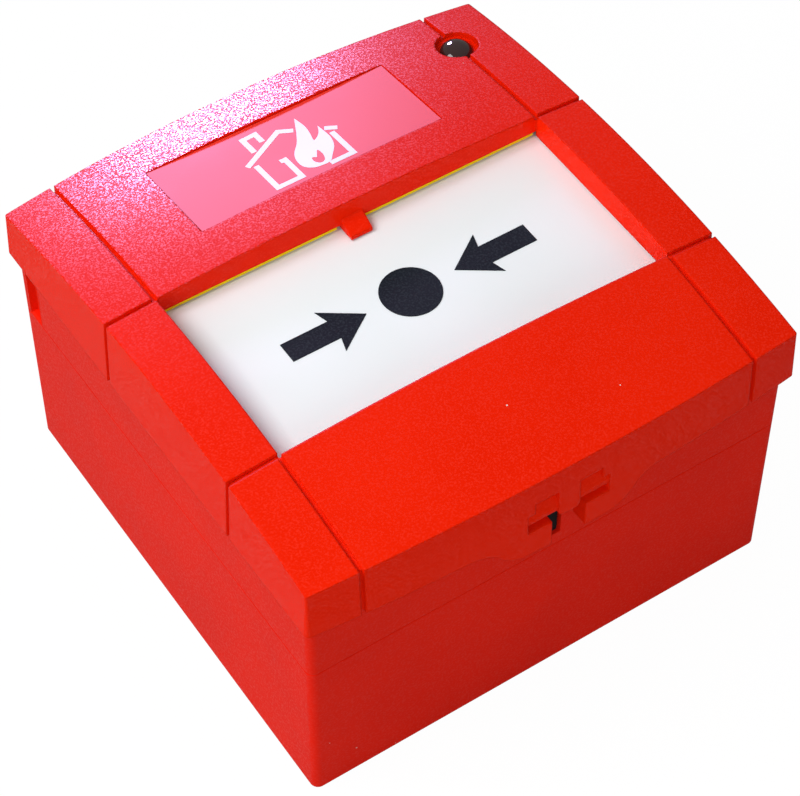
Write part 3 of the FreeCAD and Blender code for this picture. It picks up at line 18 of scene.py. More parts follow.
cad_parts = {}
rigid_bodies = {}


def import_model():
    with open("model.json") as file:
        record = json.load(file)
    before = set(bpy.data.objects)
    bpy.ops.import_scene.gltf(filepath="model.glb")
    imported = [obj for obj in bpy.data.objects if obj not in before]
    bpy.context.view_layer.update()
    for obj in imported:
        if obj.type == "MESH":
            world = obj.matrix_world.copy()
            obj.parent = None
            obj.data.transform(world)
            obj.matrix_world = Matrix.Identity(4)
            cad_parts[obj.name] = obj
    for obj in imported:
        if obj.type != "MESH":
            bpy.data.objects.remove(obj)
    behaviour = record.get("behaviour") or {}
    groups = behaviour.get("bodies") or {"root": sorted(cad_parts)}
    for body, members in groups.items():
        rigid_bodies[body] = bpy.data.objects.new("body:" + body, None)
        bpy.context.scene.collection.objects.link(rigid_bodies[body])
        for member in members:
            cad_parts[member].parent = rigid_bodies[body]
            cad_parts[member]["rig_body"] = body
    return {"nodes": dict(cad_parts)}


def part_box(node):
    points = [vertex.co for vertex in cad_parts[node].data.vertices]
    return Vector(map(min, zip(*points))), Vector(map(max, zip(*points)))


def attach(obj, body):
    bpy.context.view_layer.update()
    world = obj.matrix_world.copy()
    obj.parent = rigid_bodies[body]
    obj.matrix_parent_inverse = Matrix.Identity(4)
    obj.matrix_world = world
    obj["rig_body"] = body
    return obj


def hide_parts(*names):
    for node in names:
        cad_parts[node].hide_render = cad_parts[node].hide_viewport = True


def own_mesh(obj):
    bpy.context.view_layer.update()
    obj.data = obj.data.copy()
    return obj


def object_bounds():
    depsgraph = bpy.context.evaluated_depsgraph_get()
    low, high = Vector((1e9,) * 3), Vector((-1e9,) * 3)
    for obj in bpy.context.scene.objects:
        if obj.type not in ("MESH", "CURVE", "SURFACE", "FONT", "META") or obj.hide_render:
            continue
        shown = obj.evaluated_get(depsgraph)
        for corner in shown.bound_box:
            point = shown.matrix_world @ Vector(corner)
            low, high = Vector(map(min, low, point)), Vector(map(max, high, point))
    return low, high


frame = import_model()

CAD_BOX = [[float(v) for v in corner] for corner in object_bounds()]
MM = 0.001


# %% [markdown]
# ## Two small helpers for meshes
#
# A new piece could be built with modelling commands, one edge after another. Arrays are quicker
# to read and to change, so every new piece here starts as points and faces, and ends as a plain
# mesh whose vertices are already in place. The first helper merges doubles and turns all faces
# outwards. The second one makes the mesh and says which body carries it.

# %% Helpers for meshes
SAME_POINT = 0.002 * MM


def tidy_mesh(mesh):
    """Merge doubles and turn the faces of closed parts outwards."""
    work = bmesh.new()
    work.from_mesh(mesh)
    bmesh.ops.remove_doubles(work, verts=work.verts, dist=SAME_POINT)
    bmesh.ops.recalc_face_normals(work, faces=work.faces)
    work.to_mesh(mesh)
    work.free()


def new_piece(name, points, faces, body, slot_name, smooth=False):
    """A mesh from an array of points in metres and a list of faces, riding on a body."""
    mesh = bpy.data.meshes.new(name)
    mesh.from_pydata(np.asarray(points, float).tolist(), [], [list(map(int, face)) for face in faces])
    mesh.update()
    piece = bpy.data.objects.new(name, mesh)
    bpy.context.scene.collection.objects.link(piece)
    tidy_mesh(mesh)
    if smooth:
        mesh.polygons.foreach_set("use_smooth", np.ones(len(mesh.polygons), bool))
    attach(piece, body)
    print("piece %-22s %6d faces" % (name, len(mesh.polygons)))
    return piece


# %% [markdown]
# ## Small helpers for node trees
#
# A shader is a tree of nodes. They could be made and linked one by one, but most of them here do
# one of four small jobs: they take a value in, give noise, calculate, or map one range to another.
# Each job gets a function, so that the finishes further down read as short sums. The last
# function starts an empty group of nodes with named inputs and outputs.

# %% Helpers for node trees
def feed(tree, source, socket):
    """Give a socket its value: an output of another node is linked to it, a plain value is set on it."""
    if isinstance(source, bpy.types.NodeSocket):
        tree.links.new(source, socket)
    else:
        socket.default_value = source


def noise(tree, coords, scale, detail, rough=0.5):
    """A noise texture on given coordinates; the scale is a number or an output socket."""
    node = tree.nodes.new("ShaderNodeTexNoise")
    feed(tree, coords, node.inputs["Vector"])
    feed(tree, scale, node.inputs["Scale"])
    node.inputs["Detail"].default_value = detail
    node.inputs["Roughness"].default_value = rough
    return node.outputs["Fac"]


def calc(tree, operation, first, second):
    """A Math node on two operands, each a number or an output socket."""
    node = tree.nodes.new("ShaderNodeMath")
    node.operation = operation
    feed(tree, first, node.inputs[0])
    feed(tree, second, node.inputs[1])
    return node.outputs["Value"]


def spread(tree, value, low, high, to_low=0.0, to_high=1.0):
    """A value mapped from one range to another with soft ends, held inside the second."""
    node = tree.nodes.new("ShaderNodeMapRange")
    node.interpolation_type = "SMOOTHSTEP"
    feed(tree, value, node.inputs["Value"])
    limits = {"From Min": low, "From Max": high, "To Min": to_low, "To Max": to_high}
    for label, number in limits.items():
        node.inputs[label].default_value = number
    return node.outputs["Result"]


def shader_group(name, inputs, outputs):
    """An empty shader node group with float inputs and outputs, and its two end nodes."""
    tree = bpy.data.node_groups.new(name, "ShaderNodeTree")
    for label, value in inputs:
        socket = tree.interface.new_socket(name=label, in_out="INPUT", socket_type="NodeSocketFloat")
        socket.default_value = value
    for label in outputs:
        tree.interface.new_socket(name=label, in_out="OUTPUT", socket_type="NodeSocketFloat")
    return tree, tree.nodes.new("NodeGroupInput"), tree.nodes.new("NodeGroupOutput")


# %% [markdown]
# ## The grain, shared by every finish
#
# A moulding from a spark-eroded tool is covered with fine knobs about a third of a millimetre
# wide. Modelled, they would be far too many faces, so noise in the shader makes them. One node
# group gives their height, a slow mottle, and a mask of the knobs' tops, which catch the light.
# It reads object coordinates, so the pattern stays on the surface, and it puts out plain values
# that each material uses in its own way.

# %% The grain
GRAIN_SCALE = 2600.0
PATTERN_TURN = (0.55, 0.72, 0.31)
FINE_SCALE = 2.7
FINE_SHARE = 0.45
MOTTLE_SCALE = 45.0
MOTTLE_RANGE = (0.3, 0.7)
GLINT_RANGE = (0.47, 0.64)


def make_grain_group():
    """Relief of an eroded mould: two sizes of noise added, and a slow mottle over centimetres.

    The pattern is turned, because noise fades on planes that lie along its own grid.
    """
    tree, start, end = shader_group("eroded_grain", [("Scale", GRAIN_SCALE)], ["Height", "Mottle", "Glint"])
    turned = tree.nodes.new("ShaderNodeMapping")
    turned.inputs["Rotation"].default_value = PATTERN_TURN
    feed(tree, tree.nodes.new("ShaderNodeTexCoord").outputs["Object"], turned.inputs["Vector"])
    coords = turned.outputs["Vector"]
    scale = start.outputs["Scale"]
    coarse = noise(tree, coords, scale, detail=2.0, rough=0.6)
    fine = noise(tree, coords, calc(tree, "MULTIPLY", scale, FINE_SCALE), detail=1.0)
    slow = noise(tree, coords, MOTTLE_SCALE, detail=3.0)
    feed(tree, calc(tree, "ADD", coarse, calc(tree, "MULTIPLY", fine, FINE_SHARE)), end.inputs["Height"])
    feed(tree, spread(tree, slow, *MOTTLE_RANGE), end.inputs["Mottle"])
    feed(tree, spread(tree, coarse, *GLINT_RANGE), end.inputs["Glint"])
    return tree


GRAIN = make_grain_group()
print("group", GRAIN.name, "with", len(GRAIN.nodes), "nodes")


# %% [markdown]
# ## Specks of dust
#
# A few pale specks lie on the red mouldings. They could be scattered as tiny faces, but in the
# shader they cost nothing. A Voronoi texture divides space into cells. The group keeps a small
# ball round the middle of a few of them, and a speck shows where a ball meets the surface.

# %% The dust
def make_dust_group():
    """Sparse specks: the middles of scattered cells, kept where the cell's own random value is high."""
    defaults = [("Scale", 420.0), ("Size", 0.07), ("Share", 0.66)]
    tree, start, end = shader_group("dust_specks", defaults, ["Mask"])
    cells = tree.nodes.new("ShaderNodeTexVoronoi")
    feed(tree, tree.nodes.new("ShaderNodeTexCoord").outputs["Object"], cells.inputs["Vector"])
    feed(tree, start.outputs["Scale"], cells.inputs["Scale"])
    speck = calc(tree, "LESS_THAN", cells.outputs["Distance"], start.outputs["Size"])
    pick = tree.nodes.new("ShaderNodeSeparateColor")
    feed(tree, cells.outputs["Color"], pick.inputs["Color"])
    kept = calc(tree, "GREATER_THAN", pick.outputs["Red"], start.outputs["Share"])
    feed(tree, calc(tree, "MULTIPLY", speck, kept), end.inputs["Mask"])
    return tree


DUST = make_dust_group()
print("group", DUST.name, "with", len(DUST.nodes), "nodes")


# %% [markdown]
# ## The colour of a surface
#
# Moulded plastic is never one even colour: it drifts a little, and dust lies on it. Its knobs
# catch the light, and that glint is painted into the colour as well, as a painted highlight.
# That could be painted in a picture, but then each piece would need one. Masks do the same for
# any piece. Two tones are mixed by the mottle, then a lighter colour, the painted highlight, comes
# in on the knobs' tops by the glint mask, and the specks of dust come last.

# %% The colour of a surface
DUST_COLOUR = (0.80, 0.66, 0.64)
COLOUR_INPUTS = (6, 7)
COLOUR_OUTPUT = 2


def mix_colour(tree, factor, first, second):
    """A colour between two, each a triple or an output socket.

    A Mix node has like-named sockets for each kind of data, so those for colour go by number.
    """
    node = tree.nodes.new("ShaderNodeMix")
    node.data_type = "RGBA"
    feed(tree, factor, node.inputs["Factor"])
    for place, colour in zip(COLOUR_INPUTS, (first, second)):
        feed(tree, (*colour, 1.0) if isinstance(colour, tuple) else colour, node.inputs[place])
    return node.outputs[COLOUR_OUTPUT]


def surface_colour(tree, grains, tones, painted_glint, dust):
    """Two tones mixed by the mottle, then a painted highlight in a lighter colour on the knobs' tops, then
    the specks of dust.
    """
    colour = mix_colour(tree, grains.outputs["Mottle"], tones[0], tones[1])
    # The lighter colour on the knobs' tops is a painted highlight of their sparkle.
    if painted_glint is not None:
        colour = mix_colour(tree, grains.outputs["Glint"], colour, painted_glint)
    if dust:
        specks = tree.nodes.new("ShaderNodeGroup")
        specks.node_tree = DUST
        specks.inputs["Share"].default_value = 1.0 - dust
        colour = mix_colour(tree, specks.outputs["Mask"], colour, DUST_COLOUR)
    return colour


# %% [markdown]
# ## The relief of a surface
#
# A moulding has no truly sharp edge, and the fine bright line along it shows that. The solids
# have sharp edges. They could be bevelled, but a CAD mesh is left as it is. So a Bevel node
# rounds them in the shading alone: near an edge it gives the mean normal, and the grain's bump
# stands on that.

# %% The relief of a surface
EDGE_SAMPLES = 6


def surface_normal(tree, grains, relief, round_edge):
    """The grain's height as relief. Near an edge it stands on the mean normal within round_edge."""
    bump = tree.nodes.new("ShaderNodeBump")
    bump.inputs["Strength"].default_value = 1.0
    bump.inputs["Distance"].default_value = relief * MM
    feed(tree, grains.outputs["Height"], bump.inputs["Height"])
    if round_edge:
        soft = tree.nodes.new("ShaderNodeBevel")
        soft.samples = EDGE_SAMPLES
        soft.inputs["Radius"].default_value = round_edge * MM
        feed(tree, soft.outputs["Normal"], bump.inputs["Normal"])
    return bump.outputs["Normal"]


# %% [markdown]
# ## One recipe for every finish
#
# The pieces differ in finish, but each is a surface with a colour, a gloss and a fine relief. A
# shader built by hand for each would repeat the same nodes 22 times, so one recipe makes them
# all, and a piece only states its numbers. The roughness follows the mottle. On the red
# mouldings the knobs' tops carry a clear layer, which makes them sparkle. Values that are the
# same all over sit on the shader's own sockets.

# %% A general finish
SPARKLE_IOR = 1.20
CLEAR_COAT_IOR = 1.5


def finish_material(name, tones, relief, rough=(0.35, 0.45), grain=GRAIN_SCALE, metal=0.0,
                    specular=0.5, dust=0.0, painted_glint=None, coat=0.0, coat_rough=0.08, sparkle=0.0,
                    round_edge=0.0):
    """A Principled material; relief and round_edge are in millimetres.

    tones are the two colours, dust the share of cells with a speck, glint the lighter colour of a
    painted highlight on the knobs' tops, coat a clear layer all over, and sparkle a clear layer on the tops
    alone.
    """
    material = bpy.data.materials.new(name)
    material.use_nodes = True
    tree = material.node_tree
    shader = tree.nodes["Principled BSDF"]
    grains = tree.nodes.new("ShaderNodeGroup")
    grains.node_tree = GRAIN
    grains.inputs["Scale"].default_value = grain
    feed(tree, surface_colour(tree, grains, tones, painted_glint, dust), shader.inputs["Base Color"])
    feed(tree, spread(tree, grains.outputs["Mottle"], 0.0, 1.0, *rough), shader.inputs["Roughness"])
    feed(tree, surface_normal(tree, grains, relief, round_edge), shader.inputs["Normal"])
    shader.inputs["Metallic"].default_value = metal
    shader.inputs["Specular IOR Level"].default_value = specular
    shader.inputs["Coat Weight"].default_value = coat
    shader.inputs["Coat Roughness"].default_value = coat_rough
    shader.inputs["Coat IOR"].default_value = SPARKLE_IOR if sparkle else CLEAR_COAT_IOR
    if sparkle:
        feed(tree, calc(tree, "MULTIPLY", grains.outputs["Glint"], sparkle), shader.inputs["Coat Weight"])
    material.diffuse_color = (*tones[0], 1.0)
    return material


# %% [markdown]
# ## The outside
#
# The cover sparkles most, and the chassis and the box behind it are duller. The label is a smooth
# film, the light guide a dark resin, the plate a white moulding with black print. Tones could be
# picked from the photograph, but that holds the colour of its lamps too. So each pair was set by
# rendering it and comparing. They are written as linear light, in which a strong red has hardly
# any green and blue.

# %% Finishes of the outside
BOX_MOULDING = {"rough": (0.46, 0.50), "relief": 0.010, "specular": 0.04, "dust": 0.05,
                "coat_rough": 0.32, "sparkle": 0.5, "round_edge": 0.22}
FINISHES = {
    # The lighter red on the cover's knob tops is a painted highlight.
    "front_cover": finish_material(
        "red_moulding_cover", ((0.83, 0.013, 0.0004), (0.88, 0.016, 0.0008)), rough=(0.33, 0.37),
        grain=3300.0, relief=0.010, specular=0.012, dust=0.02, painted_glint=(0.90, 0.022, 0.004),
        coat_rough=0.25, sparkle=1.0, round_edge=0.45),
    "chassis": finish_material(
        "red_moulding_chassis", ((0.80, 0.013, 0.002), (0.86, 0.016, 0.003)), **BOX_MOULDING),
    "back_box": finish_material(
        "red_moulding_box", ((0.80, 0.012, 0.002), (0.86, 0.015, 0.003)), **BOX_MOULDING),
    "label_insert": finish_material(
        "label_film", ((0.86, 0.044, 0.024), (0.89, 0.048, 0.030)), rough=(0.42, 0.44),
        grain=900.0, relief=0.001, specular=0.05),
    "light_guide": finish_material(
        "smoky_guide", ((0.030, 0.014, 0.014), (0.045, 0.018, 0.016)), rough=(0.04, 0.07),
        grain=700.0, relief=0.001, specular=0.25, coat=0.5),
    "operating_element": finish_material(
        "white_plate", ((0.885, 0.950, 0.965), (0.895, 0.955, 0.970)), rough=(0.34, 0.42),
        grain=2200.0, relief=0.003, specular=0.12),
    # The lighter grey on the print's knob tops is a painted highlight.
    "element_marking": finish_material(
        "black_print", ((0.005, 0.009, 0.011), (0.008, 0.013, 0.016)), rough=(0.45, 0.55),
        grain=3000.0, relief=0.003, specular=0.02, painted_glint=(0.016, 0.024, 0.028)),
    "status_flag": finish_material(
        "yellow_flag", ((0.94, 0.73, 0.002), (0.96, 0.76, 0.004)), relief=0.005, specular=0.1),
    "reset_slide": finish_material(
        "black_slide", ((0.003, 0.003, 0.004), (0.006, 0.006, 0.007)), rough=(0.55, 0.62),
        relief=0.008, specular=0.08),
}
print("finishes of the outside:", ", ".join(FINISHES))


# %% [markdown]
# ## The inside
#
# Inside are a circuit board in green lacquer, a switch, a terminal block with zinc screws and
# brass clamps, a lamp and two resistors. Most of it shows only when the call point comes apart,
# so a few greys would do. Each piece gets its own finish all the same, because bare metal, resin
# and lacquer reflect light in different ways, and the recipe makes that cheap.

# %% Finishes of the inside
ZINC = {"tones": ((0.55, 0.56, 0.58), (0.66, 0.66, 0.66)), "rough": (0.25, 0.4), "metal": 1.0,
        "relief": 0.004}
FINISHES |= {node: finish_material("zinc_" + node, **ZINC)
             for node in ("board_screws", "chassis_screws", "terminal_screws")}
FINISHES |= {
    "element_springs": finish_material(
        "spring_steel", ((0.52, 0.52, 0.54), (0.60, 0.60, 0.62)), rough=(0.22, 0.32),
        metal=1.0, grain=5000.0, relief=0.003),
    "circuit_board": finish_material(
        "solder_resist", ((0.012, 0.16, 0.055), (0.018, 0.20, 0.070)), rough=(0.22, 0.32),
        grain=1500.0, relief=0.004, coat=0.4),
    "terminal_block": finish_material(
        "terminal_moulding", ((0.02, 0.16, 0.06), (0.03, 0.19, 0.08)), relief=0.008),
    "terminal_clamps": finish_material(
        "clamp_brass", ((0.60, 0.46, 0.20), (0.70, 0.54, 0.26)), rough=(0.3, 0.42), metal=1.0,
        relief=0.004),
    "switch_body": finish_material(
        "switch_moulding", ((0.012, 0.012, 0.015), (0.020, 0.020, 0.024)), relief=0.006),
    "switch_plunger": finish_material(
        "plunger_moulding", ((0.70, 0.10, 0.03), (0.78, 0.13, 0.04)), relief=0.004),
    "switch_pins": finish_material(
        "tinned_pins", ((0.62, 0.60, 0.54), (0.70, 0.68, 0.62)), rough=(0.3, 0.42), metal=1.0,
        relief=0.003),
    "alarm_led": finish_material(
        "lamp_resin", ((0.60, 0.02, 0.015), (0.66, 0.03, 0.02)), rough=(0.06, 0.1), relief=0.001,
        coat=0.5),
    "led_legs": finish_material(
        "tinned_legs", ((0.66, 0.66, 0.67), (0.74, 0.74, 0.75)), rough=(0.2, 0.3), metal=1.0,
        relief=0.003),
    "line_resistors": finish_material(
        "resistor_lacquer", ((0.60, 0.44, 0.22), (0.66, 0.50, 0.27)), rough=(0.3, 0.4),
        relief=0.004),
}

for node, material in FINISHES.items():
    mesh = frame["nodes"][node].data
    mesh.materials.clear()
    mesh.materials.append(material)
print("finishes in all:", len(FINISHES), "for", len(frame["nodes"]), "nodes")


# %% [markdown]
# ## The sign on the label
#
# Call points carry the common pictogram of a burning house, printed white on the label. A
# picture on the film could show it, but its edges would blur close up. So it is drawn here from a
# few strokes and curves of its own, as a very thin plate in front of the film. First comes the
# plane of the film, measured on the label itself.

# %% The plane of the label
ROW_WIDTH = 0.01 * MM


def label_plane():
    """Front of the label as height over y: the line through its highest points at both ends."""
    points = np.array([v.co for v in frame["nodes"]["label_insert"].data.vertices])
    ends = points[:, 1].min(), points[:, 1].max()
    heights = [points[np.abs(points[:, 1] - y) < ROW_WIDTH][:, 2].max() for y in ends]
    slope = (heights[1] - heights[0]) / (ends[1] - ends[0])
    return heights[0] - slope * ends[0], slope


LABEL_Z, LABEL_SLOPE = label_plane()
print("label front:", round(LABEL_Z / MM, 3), "mm at y 0, slope", round(LABEL_SLOPE, 4))


# %% [markdown]
# ## Strokes
#
# The house is line work. Its lines could be bars laid over each other, but then the corners
# overlap or gape. A stroke is one path given a width: each corner point moves along its mitre,
# half the width to either side, so corners come out clean.

# %% Strokes
LEAST_COSINE = 0.3


def stroke(path, width):
    """Outline of a stroke of this width along a path.

    A point moves left and right along its mitre, which is the mean direction of its two runs
    turned by 90 degrees. It moves by half the width over the cosine of the angle between the
    mitre and the normal of the run before it. A least cosine keeps a sharp mitre short.
    """
    path = np.asarray(path, float)
    into = path - np.concatenate([[2 * path[0] - path[1]], path[:-1]])
    away = np.concatenate([path[1:], [2 * path[-1] - path[-2]]]) - path
    into /= np.linalg.norm(into, axis=1)[:, None]
    away /= np.linalg.norm(away, axis=1)[:, None]
    mitre = np.stack([-(into + away)[:, 1], (into + away)[:, 0]], axis=1)
    mitre /= np.linalg.norm(mitre, axis=1)[:, None]
    normal = np.stack([-into[:, 1], into[:, 0]], axis=1)
    reach = width / 2 / np.clip((mitre * normal).sum(axis=1), LEAST_COSINE, None)
    return np.concatenate([path + mitre * reach[:, None], (path - mitre * reach[:, None])[::-1]])


# %% [markdown]
# ## Curves
#
# The flame has flowing sides that meet in sharp tips. A side could be given by many points.
# Cubic blends need only a few, because the curve passes each point in the direction from the
# one before it to the one after it.

# %% Curves
def blend(p0, p1, p2, p3, steps):
    """Points along cubic blends, each from p1 to p2, with p0 before and p3 after it.

    The curve is half the sum of: twice p1; t times p2 less p0; t squared times 2 p0 less 5 p1
    plus 4 p2 less p3; and t cubed times 3 p1 less p0 less 3 p2 plus p3. t runs from 0 to 1.
    """
    t = np.linspace(0, 1, steps, endpoint=False)[None, :, None]
    p0, p1, p2, p3 = (row[:, None, :] for row in (p0, p1, p2, p3))
    a = 2 * p1
    b = p2 - p0
    c = 2 * p0 - 5 * p1 + 4 * p2 - p3
    d = -p0 + 3 * p1 - 3 * p2 + p3
    return (0.5 * (a + b * t + c * t ** 2 + d * t ** 3)).reshape(-1, 2)


def closed_curve(points, steps):
    """A smooth ring through points, each blend between two neighbours."""
    points = np.asarray(points, float)
    return blend(*(np.roll(points, shift, axis=0) for shift in (1, 0, -1, -2)), steps)


def open_curve(points, steps=8):
    """A smooth curve from the first point to the last, whose ends run on straight."""
    points = np.asarray(points, float)
    padded = np.concatenate([[2 * points[0] - points[1]], points, [2 * points[-1] - points[-2]]])
    curve = blend(padded[:-3], padded[1:-2], padded[2:-1], padded[3:], steps)
    return np.concatenate([curve, points[-1:]])


# %% [markdown]
# ## The lines of the sign
#
# All places are millimetres on the cover, x to the right and y up. The house is five strokes:
# the left roof with its peak, the right end of the roof, the chimney, and the two walls. They
# leave room for the flame, which runs round from its left foot over the tall tip, the notch and
# the second tip to its right foot. A drop is cut out of it.

# %% The lines of the sign
STROKE = 0.95
HOUSE = [
    [(-8.7, 28.9), (-0.3, 33.6), (1.9, 32.3)],
    [(6.1, 29.7), (7.9, 28.6)],
    [(-5.9, 31.45), (-5.9, 35.2), (-3.5, 35.3), (-3.5, 32.95)],
    [(-7.45, 28.4), (-7.45, 21.75), (-3.0, 21.75), (-3.0, 26.9), (-3.9, 26.9)],
    [(6.55, 28.2), (6.55, 21.75), (2.3, 21.75)],
]
TALL_TIP = (3.6, 34.8)
NOTCH = (3.25, 28.1)
SECOND_TIP = (5.6, 30.9)
FLAME = [
    [(1.9, 22.0), (-0.2, 22.35), (-1.55, 23.6), (-1.7, 25.5), (-1.0, 27.3), (0.6, 29.2), (1.9, 31.4),
     TALL_TIP],
    [TALL_TIP, (3.9, 32.2), (3.6, 30.0), (3.2, 28.5), NOTCH],
    [NOTCH, (4.1, 28.6), (4.9, 29.5), SECOND_TIP],
    [SECOND_TIP, (5.75, 28.9), (5.7, 27.0), (5.0, 25.0), (3.6, 23.3), (2.9, 22.4)],
]
DROP = [(2.35, 25.8), (2.55, 24.6), (2.2, 23.3), (1.6, 22.75), (0.9, 22.9), (0.45, 23.7),
        (0.55, 24.6), (0.95, 24.6), (1.35, 24.35), (1.75, 25.0)]


def flame_outline():
    """The flame's smooth runs one after another; they meet in sharp points."""
    runs = [open_curve(run) for run in FLAME]
    return np.concatenate([run[:-1] for run in runs[:-1]] + runs[-1:])


print("sign:", len(HOUSE), "strokes, and a flame of", len(flame_outline()), "points")


# %% [markdown]
# ## The plates of the sign
#
# Print is a layer too thin to see from the side. A Solidify modifier could thicken a flat shape,
# but the film slopes, so each point is given its own height. An outline is filled with
# triangles, and a second set of them lies a little lower. Their rims are joined by narrow walls.

# %% The plates of the sign
PRINT_RISE = 0.03 * MM
PRINT_THICKNESS = 0.9 * PRINT_RISE


def plate_on_label(*rings):
    """Points and faces of a thin plate inside the first ring and outside any other, in millimetres.

    Its front lies at the label's plane plus the rise, and its back just clear of the film.
    """
    work = bmesh.new()
    edges = []
    for ring in rings:
        verts = [work.verts.new((x * MM, y * MM, 0.0)) for x, y in ring]
        edges += [work.edges.new((verts[k], verts[(k + 1) % len(verts)])) for k in range(len(verts))]
    bmesh.ops.triangle_fill(work, edges=edges, use_beauty=True)
    work.verts.index_update()
    flat = np.array([v.co for v in work.verts])
    faces = [[v.index for v in face.verts] for face in work.faces]
    rims = [[v.index for v in edge.verts] for edge in work.edges if len(edge.link_faces) == 1]
    work.free()
    count = len(flat)
    front = flat + [0, 0, 1] * (LABEL_Z + LABEL_SLOPE * flat[:, 1:2] + PRINT_RISE)
    back = front - [0, 0, PRINT_THICKNESS]
    solid = faces + [[k + count for k in face[::-1]] for face in faces]
    solid += [[a, b, b + count, a + count] for a, b in rims]
    return np.concatenate([front, back]), solid


def gather(parts):
    """Several sets of points and faces as one."""
    points = []
    faces = []
    count = 0
    for some_points, some_faces in parts:
        points.append(some_points)
        faces += [[k + count for k in face] for face in some_faces]
        count += len(some_points)
    return np.concatenate(points), faces


sign_parts = [plate_on_label(stroke(path, STROKE)) for path in HOUSE]
sign_parts.append(plate_on_label(flame_outline(), closed_curve(DROP, steps=5)))
sign = new_piece("fire_sign", *gather(sign_parts), "cover", "operating_element")
sign.data.materials.append(finish_material(
    "white_print", ((0.70, 0.76, 0.80), (0.74, 0.79, 0.83)), rough=(0.45, 0.5), relief=0.002,
    specular=0.10))


# %% [markdown]
# ## The indicator's lens
#
# The indicator's lens is a low dome that flattens at its crown and turns down steeply at its
# rim. A half ball would stand too high. A curve of revolution whose height falls with a power
# of the distance from the axis has one number for its rise, one for the flatness of its crown
# and one for the steepness of its rim. It sits on the floor of the dish, over the dome of the
# light guide.

# %% The lens
LENS_RADIUS = 2.8 * MM
LENS_RISE = 1.5 * MM
# The light guide's dome stands this far above the floor of the dish.
GUIDE_RISE = 1.3 * MM


def lens_cap(centre, radius, rise, flatness=2.4, steepness=0.6, around=72, along=16):
    """Dome over a disc, a function of the turn about its axis and of the way out to its rim.

    A point's distance from the axis is a share of the radius: the sine of an angle that grows
    evenly to a quarter turn. Its height is the rise times the power steepness of 1 less that
    share to the power flatness.
    """
    turn = np.linspace(0.0, 2.0 * math.pi, around, endpoint=False)
    share = np.sin(np.linspace(0.0, math.pi / 2.0, along + 1)[1:])
    height = rise * np.clip(1.0 - share ** flatness, 0.0, None) ** steepness
    rings = np.stack([np.outer(share, np.cos(turn)) * radius, np.outer(share, np.sin(turn)) * radius,
                      np.repeat(height[:, None], around, axis=1)], axis=-1).reshape(-1, 3)
    points = np.concatenate([[[0.0, 0.0, rise]], rings]) + np.asarray(centre)
    ring = 1 + np.arange(around)
    crown = np.stack([np.zeros(around, int), ring, np.roll(ring, -1)], axis=1)
    start = (ring + around * np.arange(along - 1)[:, None]).reshape(-1)
    beside = (np.roll(ring, -1) + around * np.arange(along - 1)[:, None]).reshape(-1)
    sides = np.stack([start, start + around, beside + around, beside], axis=1)
    underside = (1 + around * (along - 1) + np.arange(around)[::-1]).tolist()
    return points, crown.tolist() + sides.tolist() + [underside]


guide_low, guide_high = (np.array(corner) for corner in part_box("light_guide"))
lens_centre = (*((guide_low + guide_high) / 2)[:2], guide_high[2] - GUIDE_RISE)
lens = new_piece("indicator_lens", *lens_cap(lens_centre, LENS_RADIUS, LENS_RISE),
                 "cover", "light_guide", smooth=True)
lens.data.materials.append(FINISHES["light_guide"])


# %% [markdown]
# ## The element's springs
#
# Two small compression springs hold the white plate forward. A spring is round wire along a
# helix, and its end turns lie closer together than the middle ones. A Screw modifier gives an
# even pitch only, so the helix is worked out as an array: the height falls behind the turn by a
# sine and then makes it up, which flattens both ends. The springs shorten when the plate is
# pressed; here they keep their length and ride on the body of the spring node they stand for,
# which is hidden.

# %% The springs
WIRE = 0.6 * MM


def coil(centre, low, high, radius, wire, turns=5, steps=48, sides=12, closing=0.8):
    """Round wire on a helix, a function of the way along the wire and of the turn about it.

    With t from 0 to 1 along the wire, the angle is t times all the turns. The height goes from
    low to high by t less closing times the sine of two pi t, over two pi.
    """
    t = np.linspace(0.0, 1.0, turns * steps + 1)
    angle = 2.0 * math.pi * turns * t
    rise = t - closing * np.sin(2.0 * math.pi * t) / (2.0 * math.pi)
    outward = np.stack([np.cos(angle), np.sin(angle), np.zeros_like(t)], axis=1)
    path = outward * radius + np.stack([np.full_like(t, centre[0]), np.full_like(t, centre[1]),
                                        low + wire / 2 + rise * (high - low - wire)], axis=1)
    along = np.gradient(path, axis=0)
    along /= np.linalg.norm(along, axis=1, keepdims=True)
    across = np.cross(along, outward)
    round_turn = np.linspace(0.0, 2.0 * math.pi, sides, endpoint=False)
    section = (np.cos(round_turn)[None, :, None] * outward[:, None, :]
               + np.sin(round_turn)[None, :, None] * across[:, None, :]) * wire / 2
    points = (path[:, None, :] + section).reshape(-1, 3)
    first = np.arange(sides)
    rows = sides * np.arange(len(t) - 1)[:, None]
    start = (rows + first).reshape(-1)
    beside = (rows + np.roll(first, -1)).reshape(-1)
    walls = np.stack([start, beside, beside + sides, start + sides], axis=1).tolist()
    ends = [first[::-1].tolist(), (sides * (len(t) - 1) + first).tolist()]
    return points, walls + ends


spring_low, spring_high = (np.array(corner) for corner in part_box("element_springs"))
outer = (spring_high[1] - spring_low[1]) / 2
middle_y = (spring_low[1] + spring_high[1]) / 2
coils = [coil((side, middle_y), spring_low[2], spring_high[2], outer - WIRE / 2, WIRE)
         for side in (spring_low[0] + outer, spring_high[0] - outer)]
springs = new_piece("element_coils", *gather(coils), frame["nodes"]["element_springs"]["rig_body"],
                    "element_springs", smooth=True)
springs.data.materials.append(FINISHES["element_springs"])
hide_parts("element_springs")
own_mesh(springs)
print("springs: %.2f mm tall" % ((spring_high[2] - spring_low[2]) / MM))


# %% [markdown]
# ## The floor
#
# The call point lies on its back on a plain white floor. More light would whiten the floor, but
# it would bleach the red too. So most of the light that the camera gets from the floor is the
# floor's own. The rest is the lamps' light, and with it comes a faint soft shadow.

